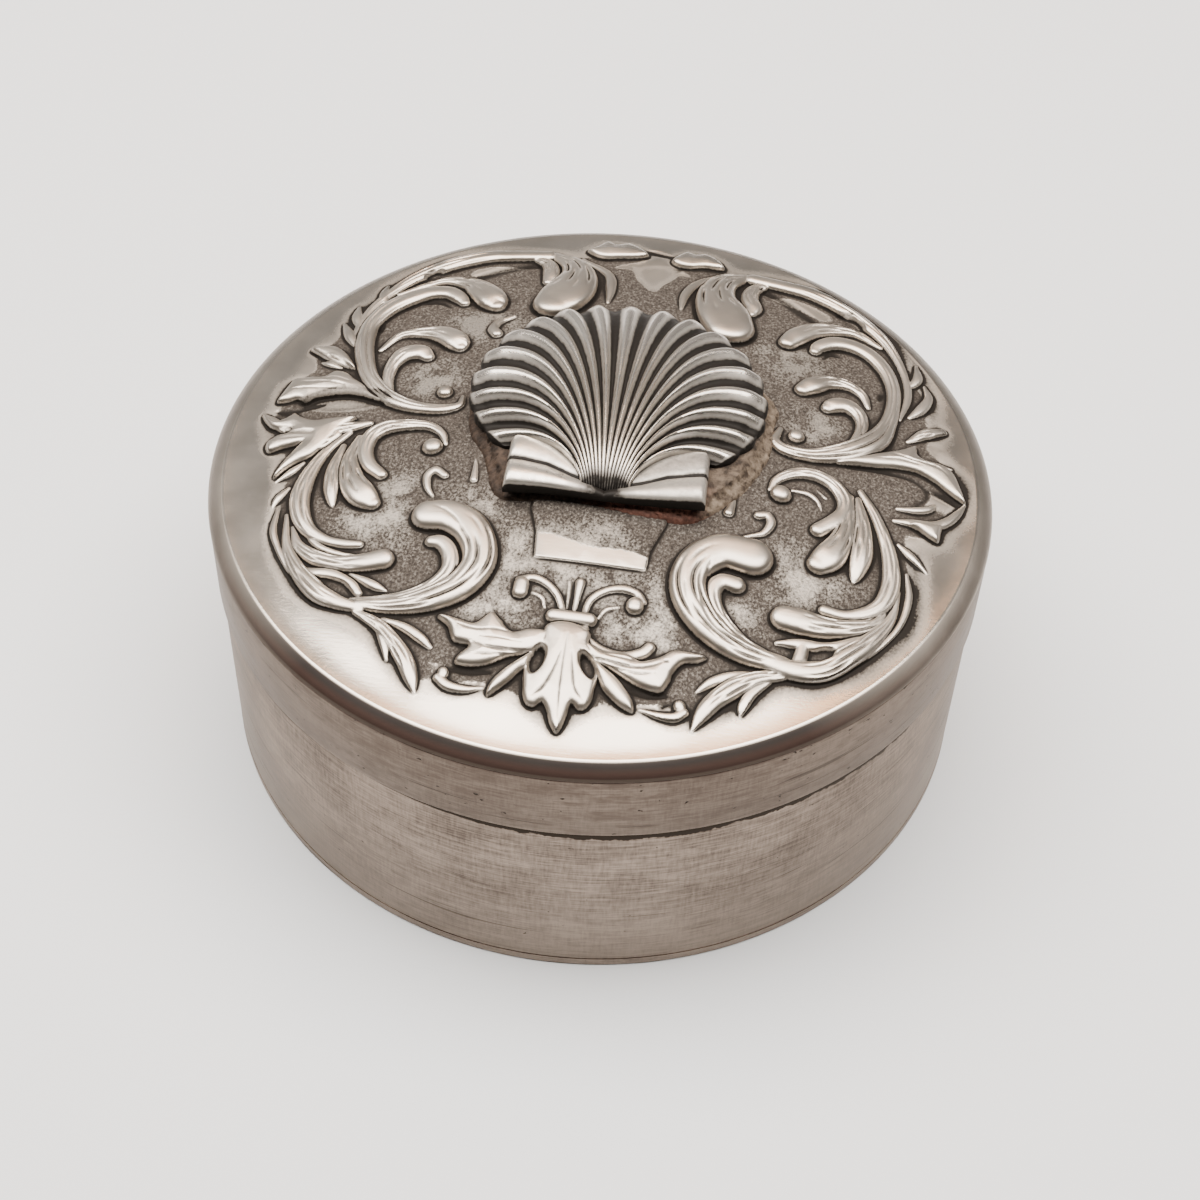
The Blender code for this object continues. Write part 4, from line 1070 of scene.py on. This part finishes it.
def cement_finish():
    """Dull crusty brown, redder in its depth and tan where dust has settled."""
    material, tree, shader = new_finish("Bedding cement", (0.2, 0.08, 0.05), 0.7, metallic=0)
    shader.inputs["Specular IOR Level"].default_value = 0.25
    crust = grain(tree, (1500, 1500, 1500), 4.0, 0.65)
    lumps = ramp(tree, crust, 0.35, 0.65)
    brown = blend_colour(tree, lumps, (0.016, 0.011, 0.008), (0.066, 0.044, 0.032))
    red = blend_colour(tree, lumps, (0.042, 0.018, 0.012), (0.145, 0.064, 0.046))
    tan = blend_colour(tree, lumps, (0.050, 0.036, 0.026), (0.25, 0.195, 0.145))
    brown = blend_colour(tree, read_attribute(tree, "ember"), brown, red)
    dusty = ramp(tree, read_attribute(tree, "dust"), 0.05, 0.5)
    wire(tree, shader, Base_Color=blend_colour(tree, dusty, brown, tan),
         Normal=bumped(tree, crust, 0.8, 0.00015))
    return material


bed = shown("cement_bed", make_bed(), cement_finish())
dress(bed, "lid", "bedding_cement", "shell_bond")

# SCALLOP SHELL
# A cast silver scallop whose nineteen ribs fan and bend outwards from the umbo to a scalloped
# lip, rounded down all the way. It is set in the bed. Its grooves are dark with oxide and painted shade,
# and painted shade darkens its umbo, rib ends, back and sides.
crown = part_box("scallop_shell")[1][2] - shell_base
rim_height, lip_height = 0.0013, 0.0006
shell_width, shell_length = 0.0229, 0.0209
widest_y, low_drop = 0.0100, 0.0085
umbo_width, umbo_y, umbo_height = 0.0033, 0.0001, 0.0018
rib_count, rib_depth, overreach = 19, 0.0006, 0.00025
lowest_angle = math.radians(-38)
bend_x_share, outer_bend_share, middle_bend_share = 0.36, 1.12, 0.62
crown_place, rib_growth, lip_start = 0.5, 0.35, 0.88
samples_per_rib = 14
rows_along = 100


def fan(rib, along):
    """Plan and height of the shell's face, and how deep in a groove each place lies."""
    middle = (rib_count - 1) / 2
    side = (rib - middle) / middle
    lean = np.abs(side)
    angle = math.pi / 2 + (lowest_angle - math.pi / 2) * lean
    ridge = np.abs(np.cos(math.pi * rib)) ** (1.2 + 1.2 * np.minimum(along / 0.45, 1))
    reach = overreach * np.sqrt(ridge)
    end_x = np.sign(side) * (shell_width / 2 - overreach + reach) * np.cos(angle)
    rise = np.where(angle > 0, shell_length - overreach - widest_y, low_drop)
    end_y = widest_y + (rise + reach) * np.sin(angle)
    inward = np.maximum(0, 1 - lean) ** 1.5
    bend_x = end_x * bend_x_share
    bend_y = end_y * (outer_bend_share + (middle_bend_share - outer_bend_share) * inward)
    start_x = side * umbo_width / 2
    x = (1 - along) ** 2 * start_x + 2 * along * (1 - along) * bend_x + along ** 2 * end_x
    y = (1 - along) ** 2 * umbo_y + 2 * along * (1 - along) * bend_y + along ** 2 * end_y
    rising = np.minimum(along / crown_place, 1)
    falling = np.clip((along - crown_place) / (1 - crown_place), 0, 1)
    height = np.where(along < crown_place, umbo_height + (crown - umbo_height) * rising * (2 - rising),
                      crown + (rim_height - crown) * falling ** 2)
    height = height * (0.3 + 0.7 * np.sqrt(1 - (1 - np.minimum(along / 0.15, 1)) ** 2))
    height = height * (1 - 0.42 * lean ** 5)
    end = np.clip((along - lip_start) / 0.12, 0, 1)
    height = height + (lip_height - height) * (1 - np.sqrt(1 - end ** 2))
    depth = rib_depth * np.minimum(1, along / rib_growth) * (1 - ridge)
    return x, y, height - depth * np.minimum(1, height / rim_height), 1 - ridge


def closed_sheet(name, x, y, z, groove):
    """A grid of heights above the shell's base with a flat back, as one closed mesh."""
    columns, rows = x.shape
    top = place_on_lid(x, y, shell_base + z).reshape(-1, 3)
    under = place_on_lid(x, y, np.full_like(z, shell_base)).reshape(-1, 3)
    index = np.arange(columns * rows).reshape(columns, rows)
    quads = np.stack([index[:-1, :-1], index[1:, :-1], index[1:, 1:], index[:-1, 1:]], -1)
    quads = quads.reshape(-1, 4)
    rim = np.concatenate([index[:-1, 0], index[-1, :-1], index[:0:-1, -1], index[0, :0:-1]])
    step = len(top)
    side = np.stack([rim, np.roll(rim, -1), np.roll(rim, -1) + step, rim + step], -1)
    mesh = faced_mesh(name, np.vstack([top, under]),
                      np.vstack([quads, quads[:, ::-1] + step, side]).tolist())
    # The groove number is oxide and painted shade in the grooves; the flat back and sides are painted dark
    # as shade.
    attribute(mesh, "groove", np.concatenate([groove.ravel(), np.ones(step)]))
    return mesh


def make_fan():
    """The ribbed face with a flat back."""
    rib, along = np.meshgrid(np.linspace(-0.5, rib_count - 0.5, rib_count * samples_per_rib + 1),
                             np.linspace(0, 1, rows_along) ** 0.85, indexing="ij")
    x, y, z, groove = fan(rib, along)
    # Painted shade: the umbo's root and the rolled rib ends are darkened.
    root = np.clip(1.4 - along / 0.055, 0, 1) * (0.75 + 0.25 * groove)
    rim = np.clip((along - 0.955) / 0.04, 0, 1) * 0.85
    return closed_sheet("scallop_fan", x, y, z, np.maximum(groove, np.maximum(root, rim)))


def cast_silver():
    """Polished cast silver, nearly black in its grooves and wherever painted shade is marked."""
    bright, dark = (0.78, 0.72, 0.65), (0.012, 0.010, 0.0085)
    material, tree, shader = new_finish("Cast silver", bright, 0.22)
    groove = read_attribute(tree, "groove")
    grit = grain(tree, (1900, 1900, 1900), 4.0, 0.65)
    deep = weighted(tree, (groove, 1.0), (grit, 0.3), (1.0, -0.15))
    shade = ramp(tree, deep, 0.25, 0.80)
    wire(tree, shader, Base_Color=blend_colour(tree, shade, bright, dark),
         Metallic=ramp(tree, shade, 0.0, 1.0, 1.0, 0.3), Roughness=ramp(tree, shade, 0.0, 1.0, 0.27, 0.55),
         Specular_IOR_Level=ramp(tree, shade, 0.0, 1.0, 0.5, 0.2),
         Normal=bumped(tree, grit, 0.35, 0.00006))
    return material


shell_finish = cast_silver()
shell_fan = shown("scallop_fan", make_fan(), shell_finish)
dress(shell_fan, "lid", "cast_silver", "scallop_shell")

# SHELL EARS
# The two ears are part of the same casting: each has two long lobes with a groove between them,
# and a narrow bar joins them under the umbo. Their front face hangs over the bed.
ear_width, ear_length, ear_overhang = 0.0149, 0.0044, 0.0006
ear_front, ear_lobe, ear_groove = 0.00070, 0.0013, 0.00092
ear_places = (0.0, 0.35, 0.6, 0.85, 1.0)
groove_places = (0.18, 0.34, 0.52, 0.60, 0.62)
back_places = (0.42, 0.82, 1.30, 1.42, 1.18)
ear_stations, ear_rows = 97, 41
hinge_bow, groove_width = 0.00022, 0.00030


def make_ears():
    """Both ears and the bar between them, from a sheet of heights."""
    side, row = np.meshgrid(np.linspace(-1, 1, ear_stations), np.linspace(0, 1, ear_rows),
                            indexing="ij")
    place = np.abs(side)
    groove = np.interp(place, ear_places, groove_places) * ear_length
    back = np.interp(place, ear_places, back_places) * ear_length
    deep = row * back
    first = np.clip(deep / groove, 0, 1)
    second = np.clip((deep - groove) / (back - groove), 0, 1)
    front_lobe = (ear_front + (ear_groove - ear_front) * first
                  + (ear_lobe - ear_front) * np.sin(math.pi * first ** 0.7) ** 0.8)
    back_lobe = ear_groove + (ear_lobe - ear_groove) * np.sin(math.pi * second ** 0.756) ** 0.8
    height = np.where(deep < groove, front_lobe, back_lobe) * (0.38 + 0.62 * place ** 0.6)
    end = np.clip((place - 0.93) / 0.07, 0, 1)
    height *= 0.5 + 0.5 * np.sqrt(1 - end ** 2)
    x = side * ear_width / 2
    bow = hinge_bow * np.sin(math.pi * place) * np.where(side < 0, 1, -0.3)
    # Dark marks: oxide and painted shade in the valley between the lobes; painted shade on the front edge,
    # the hidden back and the inner ends; the right ear duller than the left.
    valley = np.exp(-((deep - groove) / groove_width) ** 2)
    hidden = np.clip((row - 0.86) / 0.1, 0, 1)
    dark = np.maximum(np.maximum(valley, hidden), row == 0)
    dark = np.maximum(dark, np.clip(1 - place / 0.5, 0, 1) ** 0.7 * 0.95)
    dull = np.where(side > 0, 0.12, 0.18 * (1 - place)) * np.minimum(second * 6, 1)
    dark = np.maximum(dark, np.where(side > 0, 0.48, 0.30) + dull)
    return closed_sheet("scallop_ears", x, deep - ear_overhang + bow, height, dark)


dress(shown("scallop_ears", make_ears(), shell_finish), "lid", "cast_silver", "scallop_shell")

# STUDIO
# A plain pale floor, a broad soft light overhead and behind, and a camera at the photograph's
# own angle. The camera's numbers come from fitting the box's outline, seam and top edge.
floor_half = 1.2
floor_mesh = bpy.data.meshes.new("floor")
floor_mesh.from_pydata([(-floor_half, -floor_half, 0), (floor_half, -floor_half, 0),
                        (floor_half, floor_half, 0), (-floor_half, floor_half, 0)], [], [(0, 1, 2, 3)])
floor_mesh.materials.append(new_finish("Pale floor", (0.84, 0.86, 0.89), 0.8, metallic=0)[0])
placed("floor", floor_mesh)

world = bpy.data.worlds.new("Studio")
world.use_nodes = True
room = world.node_tree
near_wall, left_wall, right_wall = (0.085, 0.080, 0.074), (0.47, 0.46, 0.445), (0.29, 0.28, 0.27)
direction = node(room, "ShaderNodeTexCoord").outputs["Generated"]
heading = node(room, "ShaderNodeSeparateXYZ", Vector=direction)
far_wall = blend_colour(room, ramp(room, heading.outputs["X"], -0.22, 0.22), left_wall, right_wall)
walls = blend_colour(room, ramp(room, heading.outputs["Y"], -0.15, 0.5), near_wall, far_wall)
room.links.new(walls, room.nodes["Background"].inputs["Color"])
bpy.context.scene.world = world


def soft_light(name, place, aim, wide, long, watts, colour):
    """A soft panel that faces a point."""
    lamp = bpy.data.lights.new(name, "AREA")
    lamp.shape = "RECTANGLE"
    lamp.size = wide
    lamp.size_y = long
    lamp.energy = watts
    lamp.color = colour
    soft_panel = placed(name, lamp)
    soft_panel.location = place
    soft_panel.rotation_euler = (Vector(aim) - Vector(place)).to_track_quat("-Z", "Y").to_euler()


soft_light("overhead", (-0.06, 0.035, 0.5), aim=(-0.06, 0.035, 0.0), wide=0.95, long=0.36, watts=11.0,
           colour=(1.0, 0.945, 0.88))
soft_light("warm_wall", (-0.01, 0.29, 0.5), aim=(-0.01, 0.29, 0.0), wide=0.26, long=0.16, watts=0.62,
           colour=(1.0, 0.60, 0.34))

focal_pixels, frame_pixels = 2111.5, 1200
distance_radii, elevation = 5.690, math.radians(46.44)
pan, tilt, roll = math.radians(0.08), math.radians(0.77), math.radians(-1.99)
box_turn = math.radians(7)
eye = Vector((0, -math.cos(elevation), math.sin(elevation))) * distance_radii * lid_radius
back = eye.normalized()
right = Vector((1, 0, 0))
view_rows = Matrix((right, back.cross(right), back))
view_rows = (Matrix.Rotation(roll, 3, "Z") @ Matrix.Rotation(tilt, 3, "X")
             @ Matrix.Rotation(pan, 3, "Y") @ view_rows)
turned_box = Matrix.Rotation(box_turn, 4, "Z")
camera_data = bpy.data.cameras.new("camera")
camera_data.sensor_width = 36
camera_data.lens = focal_pixels / frame_pixels * camera_data.sensor_width
camera_data.clip_start = 0.01
camera = placed("camera", camera_data)
camera.matrix_world = (turned_box @ Matrix.Translation(eye + Vector((0, 0, border_height / 2)))
                       @ view_rows.transposed().to_4x4())
bpy.context.scene.camera = camera
